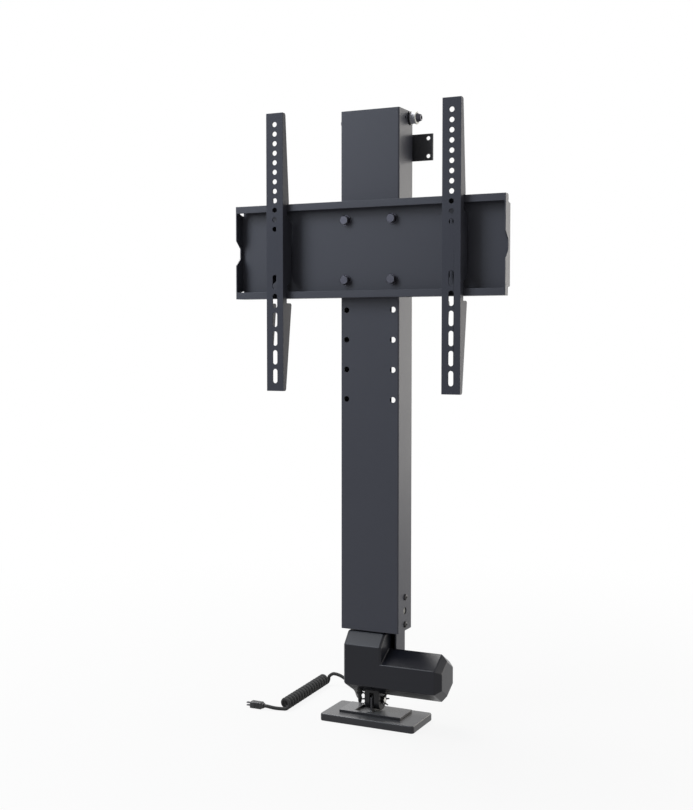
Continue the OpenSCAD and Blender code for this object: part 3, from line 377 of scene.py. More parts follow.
# The plate's top carries painted light from above, set by the share after its roughness.
FOOT_COAT = PowderCoat("foot_powder_coat", (36, 36, 40), 0.3, gloss=0.36, painted_top_light=0.27)
DARK_STEEL = Metal("blackened_steel", (44, 44, 47), 0.36, tint=(58, 57, 57), drawn=(1, 1, 1))
BOLT_STEEL = Metal("grey_bolt_steel", (58, 58, 66), 0.34, tint=(70, 70, 75), drawn=(1, 1, 1))
ZINC = Metal("zinc_plate", (196, 196, 194), 0.3)
GREY_BUSH = MouldedPlastic(
    "grey_bush_sleeve", (182, 183, 190), 0.5, grain_depth=0.01 * MM, gloss=0.2
)
PIN_STEEL = Metal("polished_pin_steel", (206, 205, 201), 0.2, drawn=(0.05, 1, 1))
BRONZE = Metal("gear_bronze", (176, 132, 72), 0.34, tint=(190, 148, 86))
WHITE_NYLON = Nylon("white_nylon", (214, 213, 206), 0.42, drift=0.03)
SLIDER_NYLON = Nylon("slider_nylon", (150, 149, 144), 0.42, drift=0.03)
SHEATH = MouldedPlastic("cord_sheath", (9, 9, 11), 0.34, grain_depth=0.01 * MM, gloss=0.6)
PLUG_SKIN = MouldedPlastic("plug_vinyl", (12, 13, 16), 0.38, grain_depth=0.01 * MM)
BOARD = Board("switch_board_lacquer", (30, 78, 46), 0.35)

Dressing = tuple[Finish, float, Sequence[str]]


class Way(Enum):
    """Direction that a turned piece faces."""

    RIGHT = (1, 0, 0)
    LEFT = (-1, 0, 0)
    FRONT = (0, -1, 0)
    REAR = (0, 1, 0)
    UP = (0, 0, 1)

    def at(self, place: Point) -> Matrix:
        """A frame at a place in millimetres whose Z faces this way."""
        turn = Vector((0, 0, 1)).rotation_difference(Vector(self.value)).to_matrix().to_4x4()
        return Matrix.Translation(Vector(place) * MM) @ turn


BOTH_SIDES = ((Way.LEFT, -1), (Way.RIGHT, 1))


class Recess(Enum):
    """Driver recess in a screw's head."""

    HEX = "hex"
    CROSS = "cross"

    def outline(self, size: float) -> Callable[[float], float]:
        """The recess's edge as a radius by angle.

        Args:
            size: Width across the flats, or length of the cross.

        Returns:
            A function of the angle in radians.
        """
        if self is Recess.HEX:
            return hexagon(size)
        arm, half = size / 2, size / CROSS_RATIO

        def cross(angle: float) -> float:
            """Edge of a cross with four equal arms."""
            off = (angle + math.pi / 4) % (math.pi / 2) - math.pi / 4
            return min(arm / math.cos(off), half / max(abs(math.sin(off)), TINY))

        return cross


def hexagon(flats: float) -> Callable[[float], float]:
    """Edge of a hexagon as a radius by angle, from its width across the flats."""
    return lambda angle: flats / 2 / math.cos((angle + math.pi / 6) % (math.pi / 3) - math.pi / 6)


def reach(value: Reach, angle: float) -> float:
    """A fixed value, or a function's value at an angle."""
    return value(angle) if callable(value) else value


class Moulder:
    """Gathers shapes in one mesh and makes a piece of them. Sizes are in millimetres."""

    def __init__(self) -> None:
        """Starts with no shapes."""
        self.mesh = bmesh.new()

    def skin(self, rings: Sequence[Sequence[Vector]], loop: bool = False) -> None:
        """Covers a row of rings with faces.

        Args:
            rings: Rings of equally many points, or of one point where the shape closes.
            loop: True where the last ring meets the first, as in a washer.
        """
        rows = [[self.mesh.verts.new(point) for point in ring] for ring in rings]
        pairs = list(zip(rows, rows[1:])) + ([(rows[-1], rows[0])] if loop else [])
        for low, high in pairs:
            count = max(len(low), len(high))
            for i in range(count):
                j = (i + 1) % count
                corners = [low[i % len(low)], low[j % len(low)]]
                corners += [high[j % len(high)], high[i % len(high)]]
                self.mesh.faces.new(list(dict.fromkeys(corners)))
        if not loop:
            for row in (rows[0], rows[-1]):
                if len(row) > 2:
                    self.mesh.faces.new(row)

    def turn(
        self,
        profile: Iterable[Ring],
        place: Matrix,
        sides: int = 48,
        loop: bool = False,
    ) -> None:
        """Adds a turned shape, or one whose radius changes round its axis.

        Args:
            profile: Radius and height of each ring, a zero radius being one point.
            place: The frame that it stands in.
            sides: Points round each ring.
            loop: True for a ring-shaped piece.
        """
        rings = []
        for radius, height in profile:
            if not callable(radius) and radius == 0:
                rings.append([place @ Vector((0, 0, reach(height, 0) * MM))])
                continue
            ring = []
            for k in range(sides):
                angle = 2 * math.pi * k / sides
                r = reach(radius, angle) * MM
                h = reach(height, angle) * MM
                ring.append(place @ Vector((r * math.cos(angle), r * math.sin(angle), h)))
            rings.append(ring)
        self.skin(rings, loop)

    def piece(
        self,
        name: str,
        finish: Finish,
        body: str,
        stands_for: Sequence[str] = (),
        crease: float = CREASE_ANGLE,
    ) -> Object:
        """Makes the piece and hangs it on its body.

        Args:
            name: The piece's name.
            finish: Its finish.
            body: The CAD body that it moves with.
            stands_for: CAD nodes that it replaces.
            crease: Edges that turn by more than this stay crisp, in radians.

        Returns:
            The new object.
        """
        bmesh.ops.recalc_face_normals(self.mesh, faces=self.mesh.faces)
        for edge in self.mesh.edges:
            edge.smooth = edge.calc_face_angle(0) < crease
        for face in self.mesh.faces:
            face.smooth = True
        data = bpy.data.meshes.new(name)
        self.mesh.to_mesh(data)
        self.mesh.free()
        made = bpy.data.objects.new(name, data)
        bpy.context.scene.collection.objects.link(made)
        data.materials.append(finish.material())
        settle(made, body, stands_for)
        return made


def settle(made: Object, body: str, stands_for: Sequence[str] = ()) -> None:
    """Hangs a new piece on its body and hides what it stands for.

    Args:
        made: The new piece.
        body: The CAD body that it moves with.
        stands_for: CAD nodes that it replaces.
    """
    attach(made, body)
    if stands_for:
        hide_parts(*stands_for)
    LOG.info("made %s on %s", made.name, body)


def shape_group(name: str) -> NodeTree:
    """Makes a node group that takes geometry in and hands it out.

    Args:
        name: The group's name.

    Returns:
        The group, still empty.
    """
    tree = bpy.data.node_groups.new(name, "GeometryNodeTree")
    for way in ("INPUT", "OUTPUT"):
        tree.interface.new_socket("Geometry", in_out=way, socket_type="NodeSocketGeometry")
    return tree


@cache
def seam_weights() -> NodeTree:
    """Node group that marks the sharp edges to break, all but those on the seam at Y 0.

    Returns:
        The group, made once.
    """
    tree = shape_group("seam_weights")
    graph = Graph(tree)
    more = {"data_type": "FLOAT", "operation": "GREATER_THAN"}
    angle = graph.node("GeometryNodeInputMeshEdgeAngle")
    sharp = graph.node("FunctionNodeCompare", more, {0: angle, 1: BREAK_ANGLE})
    place = graph.node("GeometryNodeInputPosition")
    depth = graph.node("ShaderNodeSeparateXYZ", None, {0: place}, out="Y")
    away = graph.node("ShaderNodeMath", {"operation": "ABSOLUTE"}, {0: depth})
    clear = graph.node("FunctionNodeCompare", more, {0: away, 1: SEAM_SLACK})
    broken = graph.node("FunctionNodeBooleanMath", {"operation": "AND"}, {0: sharp, 1: clear})
    given = graph.node("NodeGroupInput")
    marked = graph.node(
        "GeometryNodeStoreNamedAttribute",
        {"data_type": "FLOAT", "domain": "EDGE"},
        {"Geometry": given, "Name": "bevel_weight_edge", "Value": broken},
    )
    graph.node("NodeGroupOutput", None, {"Geometry": marked})
    return tree


@cache
def crease_shading() -> NodeTree:
    """Node group that shades a solid smoothly except across its sharp edges.

    Returns:
        The group, made once.
    """
    tree = shape_group("crease_shading")
    graph = Graph(tree)
    given = graph.node("NodeGroupInput")
    plain = graph.node(
        "GeometryNodeRemoveAttribute", None, {"Geometry": given, "Name": "custom_normal"}
    )
    angle = graph.node("GeometryNodeInputMeshEdgeAngle")
    soft = graph.node(
        "FunctionNodeCompare",
        {"data_type": "FLOAT", "operation": "LESS_THAN"},
        {0: angle, 1: CREASE_ANGLE},
    )
    shaded = plain
    for domain, smooth in (("FACE", True), ("EDGE", soft)):
        shaded = graph.node(
            "GeometryNodeSetShadeSmooth",
            {"domain": domain},
            {"Geometry": shaded, "Shade Smooth": smooth},
        )
    graph.node("NodeGroupOutput", None, {"Geometry": shaded})
    return tree


def dress(
    node: str, finish: Finish, edge: float = 0.4, segments: int = 2, seam: bool = False
) -> None:
    """Gives a CAD node its finish and breaks its sharp edges.

    Args:
        node: The CAD node.
        finish: Its finish.
        edge: Width of the broken edges in millimetres, 0 to leave them.
        segments: Faces across a broken edge.
        seam: Whether the edges on the seam at Y 0 stay sharp.
    """
    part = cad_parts[node]
    for slot in part.material_slots:
        slot.link = "OBJECT"
        slot.material = finish.material()
    weld = part.modifiers.new("weld", "WELD")
    weld.merge_threshold = WELD_GAP
    if edge:
        flat = part.modifiers.new("flatten", "DECIMATE")
        flat.decimate_type = "DISSOLVE"
        flat.angle_limit = FLAT_ANGLE
        if seam:
            part.modifiers.new("seam", "NODES").node_group = seam_weights()
        soften = part.modifiers.new("broken_edges", "BEVEL")
        soften.width = edge * MM
        soften.segments = segments
        soften.limit_method = "WEIGHT" if seam else "ANGLE"
        soften.angle_limit = BREAK_ANGLE
        soften.use_clamp_overlap = False
    part.modifiers.new("shading", "NODES").node_group = crease_shading()
    even = part.modifiers.new("even_faces", "WEIGHTED_NORMAL")
    even.keep_sharp = True
    even.weight = AREA_WEIGHT
    LOG.info("dressed %s in %s", node, finish.name)


def dress_all(dressings: Iterable[Dressing]) -> None:
    """Dresses CAD nodes in rows of one finish.

    Args:
        dressings: Finish, width of the broken edges and nodes of each row.
    """
    for finish, edge, nodes in dressings:
        for node in nodes:
            dress(node, finish, edge)


@dataclass(frozen=True)
class Lamp:
    """A soft square lamp that faces a point, in metres and watts."""

    name: str
    place: Point
    aim: Point
    size: float
    power: float
    colour: Point

    def hang(self) -> None:
        """Hangs the lamp in the scene."""
        data = bpy.data.lights.new(self.name, "AREA")
        data.color = self.colour
        data.size = self.size
        data.energy = self.power
        made = bpy.data.objects.new(self.name, data)
        made.location = self.place
        made.rotation_mode = "QUATERNION"
        made.rotation_quaternion = (Vector(self.aim) - Vector(self.place)).to_track_quat("-Z", "Y")
        bpy.context.scene.collection.objects.link(made)


@dataclass
class Studio:
    """Camera, floor, surround and lamps, in metres."""

    eye: Point = (0.80148, -1.77004, 0.61505)
    heading: float = 25.685
    pitch: float = 3.088
    lens: float = 54.25
    sensor: float = 36.0
    floor_half: float = 30.0
    floor_grey: float = 0.35
    surround: float = 0.22
    floor_white: float = 0.89
    floor_fade: float = 1.6
    lamps: tuple[Lamp, ...] = (
        Lamp("key", (2.4, 0.7, 0.8), (0, 0, 0.4), 1.8, 18, (1.0, 0.97, 0.92)),
        Lamp("rim", (1.7, 2.4, 0.5), (0, 0, 0.3), 2.4, 56, (1.0, 0.96, 0.9)),
        Lamp("fill", (-1.44, -1.75, 1.44), (0, 0, 0.7), 1.2, 21, (0.84, 0.91, 1.0)),
        Lamp("upper", (-1.05, -1.5, 2.15), (0, 0, 0.7), 1.0, 23, (0.84, 0.91, 1.0)),
        Lamp("top", (-1.05, 0.35, 2.2), (0, 0, 0.1), 1.2, 78, (1.0, 0.99, 0.97)),
    )

    def build(self) -> None:
        """Sets the view, then the floor, the surround and the lamps."""
        bpy.context.scene.view_settings.view_transform = "Standard"
        self.camera()
        self.floor()
        self.world()
        for lamp in self.lamps:
            lamp.hang()

    def camera(self) -> None:
        """Puts the camera where the photograph was taken from."""
        data = bpy.data.cameras.new("camera")
        data.lens = self.lens
        data.sensor_width = self.sensor
        made = bpy.data.objects.new("camera", data)
        made.location = self.eye
        made.rotation_euler = (math.radians(90 - self.pitch), 0, math.radians(self.heading))
        bpy.context.scene.collection.objects.link(made)
        bpy.context.scene.camera = made

    def floor(self) -> None:
        """Lays a pale floor that keeps a soft shadow."""
        half = self.floor_half
        data = bpy.data.meshes.new("floor")
        corners = [(-half, -half, 0), (half, -half, 0), (half, half, 0), (-half, half, 0)]
        data.from_pydata(corners, [], [(0, 1, 2, 3)])
        made = bpy.data.objects.new("floor", data)
        bpy.context.scene.collection.objects.link(made)
        paint = bpy.data.materials.new("pale_floor")
        paint.use_nodes = True
        graph = Graph(paint.node_tree)
        lit = graph.node("ShaderNodeBsdfDiffuse", None, {"Color": (*[self.floor_grey] * 3, 1)})
        white = graph.node("ShaderNodeEmission", None, {"Color": (1, 1, 1, 1)})
        place = graph.node("ShaderNodeTexCoord", out="Object")
        away = graph.node("ShaderNodeVectorMath", {"operation": "LENGTH"}, {0: place}, out="Value")
        fade = graph.node(
            "ShaderNodeMapRange",
            {"interpolation_type": "SMOOTHSTEP"},
            {"Value": away, "From Max": self.floor_fade, "To Min": self.floor_white},
        )
        share = self.seen(graph) * fade
        both = graph.node("ShaderNodeMixShader", None, {0: share, 1: lit, 2: white})
        graph.node("ShaderNodeOutputMaterial", None, {"Surface": both})
        data.materials.append(paint)

    @staticmethod
    def seen(graph: Graph) -> Sock:
        """Picks the rays that show the surround itself, straight or mirrored.

        Args:
            graph: The graph that asks.

        Returns:
            1 for those rays, 0 for the others.
        """
        rays = [
            graph.node("ShaderNodeLightPath", out=ray)
            for ray in ("Is Camera Ray", "Is Glossy Ray", "Is Transmission Ray")
        ]
        return rays[0] + rays[1] + rays[2]

    def world(self) -> None:
        """Makes a white surround that lights the object at a plain level."""
        world = bpy.data.worlds.new("surround")
        world.use_nodes = True
        graph = Graph(world.node_tree)
        strength = self.surround + self.seen(graph) * (1 - self.surround)
        sky = graph.node(
            "ShaderNodeBackground", None, {"Color": (1, 1, 1, 1), "Strength": strength}
        )
        graph.node("ShaderNodeOutputWorld", None, {"Surface": sky})
        bpy.context.scene.world = world


@dataclass
class CordRun:
    """Curly cord from the gland under the housing to the plug on the floor, in millimetres."""

    diameter: float = 5.8
    curl_radius: float = 7.5
    pitch: float = 10.2
    turns: int = 16
    end_turn: float = 1 / 4
    coil_start: Point = (-154.8, -18)
    coil_turn: float = 93.0
    coil_lift: float = 0.1
    join: float = 2.0
    steps: int = 24
    facets: int = 4
    gland_tip: Point = (-22, -8, 42)
    lead: tuple = (
        (-22, -8, 39.8), (-22.7, -6.5, 34), (-24.4, -2.5, 29.6), (-26, 1, 28.2),
        (-30.1, 10.3, 26.8), (-34.2, 19.4, 25), (-42.3, 37.7, 21.2), (-50.5, 56, 16),
        (-61, 75, 9.8), (-73, 95, 5), (-84, 114, 3.2), (-94, 130, 3.2), (-104, 141, 5.2),
        (-115, 148.5, 9.2), (-126, 152.3, 14.2), (-135, 153, 18), (-143.5, 152.4, 20.2),
        (-149.5, 151.6, 20.2), (-153.6, 150.6, 17.7),
    )
    tail: tuple = ((-164, -20.6, 3.1), (-170, -22.6, 3.6), (-176, -24.6, 4.6))
    plug_entry: Point = (-189, -26, 5.9)

    def axes(self) -> tuple[Vector, Vector, Vector]:
        """Finds the coil's own directions.

        Returns:
            Along its axis, sideways and up.
        """
        turn = math.radians(self.coil_turn)
        along = Vector((math.cos(turn), math.sin(turn), 0))
        return along, Vector((math.sin(turn), -math.cos(turn), 0)), Vector((0, 0, 1))

    def curl_point(self, turn: float) -> Vector:
        """Finds the middle of the cord in the coil.

        Args:
            turn: Turns from the coil's start.

        Returns:
            The point in millimetres.
        """
        along, side, up = self.axes()
        angle = 2 * math.pi * turn
        low = self.curl_radius + self.diameter / 2 + self.coil_lift
        start = Vector((*self.coil_start, low))
        ring = side * math.sin(angle) - up * math.cos(angle)
        return start + along * (turn * self.pitch) + ring * self.curl_radius

    def curl_heading(self, turn: float) -> Vector:
        """Finds the direction of the cord in the coil.

        Args:
            turn: Turns from the coil's start.

        Returns:
            A unit vector.
        """
        along, side, up = self.axes()
        angle = 2 * math.pi * turn
        climb = self.pitch / (2 * math.pi * self.curl_radius)
        return (along * climb + up * math.sin(angle) + side * math.cos(angle)).normalized()

    def route(self) -> list[Vector]:
        """Middle line of the whole cord, from the gland to the plug.

        Returns:
            Points in metres, close enough for a smooth tube.
        """
        turns = self.turns + self.end_turn
        out, into = self.curl_heading(turns), self.curl_heading(0)
        last, first = self.curl_point(turns), self.curl_point(0)
        lead = [Vector(self.gland_tip), *(Vector(p) for p in self.lead)]
        lead += [last + out * (2 * self.join), last + out * self.join]
        count = round(turns * self.steps)
        curls = [self.curl_point(turns - i / self.steps) for i in range(count + 1)]
        tail = [first - into * self.join, first - into * (2 * self.join)]
        tail += [Vector(p) for p in self.tail]
        entry = Vector(self.plug_entry)
        tail += [entry + Vector((self.diameter, 0, 0)), entry]
        lead_line = self.smooth(lead + curls[:2])[: -self.steps // 4]
        tail_line = self.smooth(curls[-2:] + tail)[self.steps // 4:]
        return [point * MM for point in lead_line + curls + tail_line]

    def smooth(self, points: Sequence[Vector]) -> list[Vector]:
        """A smooth line through points, in quarter-turn steps between each two.

        Args:
            points: The points to pass through.

        Returns:
            The line's points, the given ones among them.
        """
        steps = self.steps // 4
        line = []
        for i in range(len(points) - 1):
            before, here = points[max(i - 1, 0)], points[i]
            there, after = points[i + 1], points[min(i + 2, len(points) - 1)]
            span = (there - here).length
            leave = self.slope(before, here, there) * span
            arrive = self.slope(here, there, after) * span
            for k in range(steps):
                t = k / steps
                line.append(
                    here * (2 * t ** 3 - 3 * t ** 2 + 1) + leave * (t ** 3 - 2 * t ** 2 + t)
                    + there * (3 * t ** 2 - 2 * t ** 3) + arrive * (t ** 3 - t ** 2)
                )
        return line + [points[-1]]

    @staticmethod
    def slope(before: Vector, here: Vector, after: Vector) -> Vector:
        """Finds a line's direction at a point, the nearer neighbour counting more.

        Args:
            before: The point before it.
            here: The point itself.
            after: The point after it.

        Returns:
            A unit vector.
        """
        back, ahead = here - before, after - here
        if min(back.length, ahead.length) < TINY:
            return (back + ahead).normalized()
        return (back.normalized() * ahead.length + ahead.normalized() * back.length).normalized()

    def build(self, on_cord: Sequence[Object]) -> None:
        """Args:
            on_cord: Pieces on the cord's far end; not used.
        """
        points = self.route()
        data = bpy.data.curves.new("curly_cord", "CURVE")
        data.dimensions = "3D"
        data.bevel_depth = self.diameter / 2 * MM
        data.bevel_resolution = self.facets
        data.use_fill_caps = True
        spline = data.splines.new("POLY")
        spline.points.add(len(points) - 1)
        for knot, point in zip(spline.points, points):
            knot.co = (*point, 1)
        spline.use_smooth = True
        made = bpy.data.objects.new("curly_cord", data)
        bpy.context.scene.collection.objects.link(made)
        data.materials.append(SHEATH.material())
        settle(made, "frame", ("cord_lead", "cord_coil", "cord_tail"))
        length = sum((b - a).length for a, b in zip(points, points[1:]))
        LOG.info("cord of %.3f m", length)


@dataclass
class Plug:
    """Moulded plug with two flat pins, in millimetres.

    The neck, one grip and the face are rows of distance, half width and half height.
    """

    entry: Point = (-189, -26, 5.9)
    corner: float = 1.6
    corner_steps: int = 4
    neck: Sequence[Point] = (
        (0, 3.4, 3.4), (0.6, 4, 4), (2.6, 4.4, 4.3), (3.8, 5.6, 5.1), (4.8, 6, 5.5),
    )
    grip: Sequence[Point] = ((0, 6, 5.5), (0.5, 5.4, 5.5), (1.1, 5.4, 5.5), (1.6, 6, 5.5))
    grips: int = 4
    grip_start: float = 7.0
    grip_pitch: float = 2.6
    face: Sequence[Point] = ((24, 6, 5.5), (25, 5.1, 4.6))
    pin_edge: float = 0.25

    def section(self, x: float, half_w: float, half_h: float) -> list[Vector]:
        """Rounded rectangle across the plug.

        Args:
            x: Distance behind the cord's entry.
            half_w: Half its width.
            half_h: Half its height.

        Returns:
            The section's points in metres.
        """
        points = []
        for quarter in range(4):
            sign_y = 1 if quarter in (0, 3) else -1
            sign_z = 1 if quarter < 2 else -1
            for step in range(self.corner_steps + 1):
                angle = math.pi / 2 * (quarter + step / self.corner_steps)
                y = sign_y * (half_w - self.corner) + self.corner * math.cos(angle)
                z = sign_z * (half_h - self.corner) + self.corner * math.sin(angle)
                points.append((Vector(self.entry) + Vector((-x, y, z))) * MM)
        return points

    def build(self) -> Object:
        """Moulds the plug and dresses its pins.

        Returns:
            The plug's body.
        """
        starts = [self.grip_start + self.grip_pitch * i for i in range(self.grips)]
        grips = [(start + x, *halves) for start in starts for x, *halves in self.grip]
        stations = [*self.neck, *grips, *self.face]
        moulder = Moulder()
        moulder.skin([self.section(*station) for station in stations])
        made = moulder.piece("plug_body", PLUG_SKIN, "frame", ("cord_plug",))
        dress("plug_pins", BOLT_STEEL, self.pin_edge)
        return made


@dataclass(kw_only=True)
class Fasteners:
    """Turned fasteners of one kind that stand for one CAD node, in millimetres."""

    node: str
    body: str = "frame"
    slot: str = "zinc_steel"
    finish: Finish = ZINC
    head_h: float = 3.0
    shank_d: float = 4.0
    shank_l: float
    places: Sequence[tuple[Way, Point]]
    crease: float = CREASE_ANGLE

    def profile(self) -> list[Ring]:
        """Rings of one fastener from its tip to its head."""
        raise NotImplementedError

    def build(self) -> None:
        """Turns all of them as one piece."""
        moulder = Moulder()
        for way, place in self.places:
            moulder.turn(self.profile(), way.at(place))
        moulder.piece(
            self.node + "_turned", self.finish, self.body, (self.node,), self.crease
        )


@dataclass(kw_only=True)
class ScrewSet(Fasteners):
    """Domed screws with a driver recess."""

    head_d: float = 8.0
    recess: Recess = Recess.CROSS
    recess_size: float = 4.4
    recess_depth: float = 1.6
    recess_point: float = 0.4
    recess_lip: float = 1.04
    top_share: float = 0.72
    rim_share: float = 0.12
    dome_steps: int = 6
    edge: float = 0.15
    tip_share: float = 0.75
    tip_l: float = 0.6

    def profile(self) -> list[Ring]:
        """Draws one screw from its tip to the bottom of its recess.

        Returns:
            Radius and height of each ring.
        """
        r, head, high, low = self.shank_d / 2, self.head_d / 2, self.head_h, -self.shank_l
        socket = self.recess.outline(self.recess_size)
        top, rim = self.recess_size * self.top_share, self.rim_share
        rings: list[Ring] = [(0, low), (r * self.tip_share, low), (r, low + self.tip_l), (r, 0)]
        rings += [(head - self.edge, 0), (head, self.edge), (head, high * rim)]
        for step in range(1, self.dome_steps + 1):
            turn = math.pi / 2 * step / self.dome_steps
            rings.append((
                top + (head - top) * math.cos(turn), high * (rim + (1 - rim) * math.sin(turn))
            ))
        floor = high - self.recess_depth
        rings += [(lambda a: socket(a) * self.recess_lip, high), (socket, high - self.edge)]
        return rings + [(socket, floor), (0, floor - self.recess_point)]


@dataclass(kw_only=True)
class HexBolts(Fasteners):
    """Hexagon bolts with chamfered heads and threaded shanks."""

    flats: float
    pitch: float
    thread_l: float
    thread_steps: int = 6
    collar_h: float = 0.25
    under_h: float = 0.4
    under_share: float = 0.995
    face_share: float = 0.95
    chamfer: float = math.radians(30)
    crease: float = math.radians(24)

    def profile(self) -> list[Ring]:
        """Draws one bolt from its threaded tip to its head.

        Returns:
            Radius and height of each ring.
        """
        r, depth, low = self.shank_d / 2, self.pitch / 2, -self.shank_l
        face, slope = self.flats / 2 * self.face_share, math.tan(self.chamfer)
        side = hexagon(self.flats)
        rings: list[Ring] = [(0, low), (r - depth, low)]
        for i in range(1, int(self.thread_l / self.pitch * self.thread_steps)):
            z = low + self.pitch * i / self.thread_steps

            def ridge(angle: float, z: float = z) -> float:
                """Radius of the thread at a height and angle."""
                share = (z / self.pitch - angle / (2 * math.pi)) % 1
                return r - depth * abs(2 * share - 1)

            rings.append((ridge, z))
        rings += [(r, low + self.thread_l), (r, 0), (face, 0), (face, self.collar_h)]
        rings += [(lambda a: side(a) * self.under_share, self.collar_h), (side, self.under_h)]
        rings += [(side, lambda a: self.head_h - (side(a) - face) * slope)]
        return rings + [(face, self.head_h), (0, self.head_h)]


@dataclass
class Washers:
    """Flat and split spring washers under the screen plate's bolts, in millimetres."""

    seat_y: float = -22.0
    bore: float = 8.4
    flat_d: float = 17.0
    flat_t: float = 1.6
    flat_edge: float = 0.25
    flat_sides: int = 64
    spring_d: float = 13.2
    spring_t: float = 2.2
    spring_edge: float = 0.3
    spring_rise: float = 0.35
    spring_steps: int = 60
    split: float = 9.0
    places: Sequence[tuple[float, float]] = ((-40, 802), (40, 802), (-40, 708), (40, 708))

    def build(self) -> None:
        """Makes a flat ring and a split ring under each bolt."""
        moulder = Moulder()
        out, inner, thick, edge = self.flat_d / 2, self.bore / 2, self.flat_t, self.flat_edge
        ring = [
            (inner, 0), (out, 0), (out, thick - edge), (out - edge, thick), (inner + edge, thick),
            (inner, thick - edge),
        ]
        for x, z in self.places:
            place = Way.FRONT.at((x, self.seat_y, z))
            moulder.turn(ring, place, self.flat_sides, loop=True)
            self.split_ring(moulder, Way.FRONT.at((x, self.seat_y - self.flat_t, z)))
        moulder.piece("washer_stack", BOLT_STEEL, "carriage", ("plate_washers",))

    def split_ring(self, moulder: Moulder, place: Matrix) -> None:
        """Adds a spring washer whose two ends stand apart.

        Args:
            moulder: The mesh to add to.
            place: The washer's frame.
        """
        out, inner, edge = self.spring_d / 2, self.bore / 2, self.spring_edge
        thick, steps = self.spring_t - self.spring_rise, self.spring_steps
        outline = (
            (inner, 0), (out - edge, 0), (out, edge), (out, thick - edge), (out - edge, thick),
            (inner, thick),
        )
        rings = []
        for i in range(steps + 1):
            angle = math.radians(self.split + (360 - 2 * self.split) * i / steps)
            lift = self.spring_rise * i / steps
            rings.append([
                place @ (Vector((r * math.cos(angle), r * math.sin(angle), h + lift)) * MM)
                for r, h in outline
            ])
        moulder.skin(rings)


@dataclass
class Foot:
    """Foot pad and the plate that carries the clevis lug, in millimetres."""

    edge: float = 0.5

    def dress(self) -> None:
        """Finishes the pad and its plate."""
        dress("foot_pad", PAD_SKIN, self.edge)
        dress("foot_plate", FOOT_COAT, self.edge, segments=3)


@dataclass
class Clevis:
    """Fork, pin and retaining clips over the foot, in millimetres."""

    fork_edge: float = 0.8
    fork_side: float = 12.5
    pin_edge: float = 0.5
    pin_y: float = 5.0
    pin_z: float = 34.0
    clip_bore: float = 3.1
    clip_r: float = 5.2
    clip_t: float = 1.2
    clip_bulge: float = 0.2
    legs: int = 6
    leg_steps: int = 5
    leg_root: float = 0.6
    leg_lift: float = 0.15
    leg_reach: float = 10.4
    leg_rise: float = 6.0
    leg_curve: float = 1.6
    leg_half: float = 1.6
    leg_t: float = 2.0
    leg_taper: float = 0.35

    def build(self) -> None:
        """Finishes the fork and the pin and presses on the clips."""
        dress("clevis_fork", BLACK_COAT, self.fork_edge, segments=3)
        dress("clevis_pin", PIN_STEEL, self.pin_edge, segments=3)
        self.build_clips()

    def build_clips(self) -> None:
        """Makes the star-shaped push-on clips, whose legs spring away from the fork."""
        moulder = Moulder()
        for way, sign in BOTH_SIDES:
            place = way.at((sign * self.fork_side, self.pin_y, self.pin_z))
            ring = [
                (self.clip_bore, 0), (self.clip_r, 0),
                (self.clip_r + self.clip_bulge, self.clip_t / 2), (self.clip_r, self.clip_t),
                (self.clip_bore, self.clip_t),
            ]
            moulder.turn(ring, place, loop=True)
            for leg in range(self.legs):
                turn = Matrix.Rotation(2 * math.pi * (leg + 0.5) / self.legs, 4, "Z")
                moulder.skin([
                    [place @ turn @ (Vector(corner) * MM) for corner in section]
                    for section in self.leg_sections()
                ])
        moulder.piece("star_clips", DARK_STEEL, "frame", ("pin_clips",))

    def leg_sections(self) -> list[list[Point]]:
        """Draws one leg, curving up as it reaches out.

        Returns:
            The corners of each section along it.
        """
        root = self.clip_r - self.leg_root
        sections = []
        for step in range(self.leg_steps + 1):
            share = step / self.leg_steps
            taper = 1 - self.leg_taper * share
            out = root + (self.leg_reach - root) * share
            low = self.leg_lift + self.leg_rise * share ** self.leg_curve
            half, high = self.leg_half * taper, low + self.leg_t * taper
            sections.append([
                (out, -half, low), (out, half, low), (out, half, high), (out, -half, high)
            ])
        return sections


@dataclass
class Housing:
    """Two-part actuator housing with its screws and cord gland, in millimetres."""

    edge: float = 1.3
    rear: float = 31.0
    screw_l: float = 44.0
    screw_spots: Sequence[Point] = ((-30.5, 71.5), (-30.5, 121.5), (111.5, 83))
    gland: Point = (-22, -8, 42)
    gland_profile: Sequence[Point] = (
        (0, 0), (3.35, 0), (3.75, 0.3), (3.75, 0.7), (3.15, 0.9), (3.15, 1.3), (4.75, 1.6),
        (5.5, 2), (5.5, 3.6), (5.1, 4), (4, 4), (4, 18), (0, 18),
    )
    gland_sides: int = 40

    def build(self) -> None:
        """Finishes the shells, turns the screws and moulds the gland."""
        for node in ("housing_front", "housing_rear"):
            dress(node, HOUSING_SKIN, self.edge, segments=4, seam=True)
        ScrewSet(
            node="housing_screws", shank_l=self.screw_l,
            places=[(Way.REAR, (x, self.rear, z)) for x, z in self.screw_spots],
        ).build()
        self.build_gland()

    def build_gland(self) -> None:
        """Moulds the ribbed gland that the cord leaves the housing through."""
        moulder = Moulder()
        moulder.turn(self.gland_profile, Way.UP.at(self.gland), self.gland_sides)
        moulder.piece("ribbed_gland", SHEATH, "frame", ("cord_gland",))


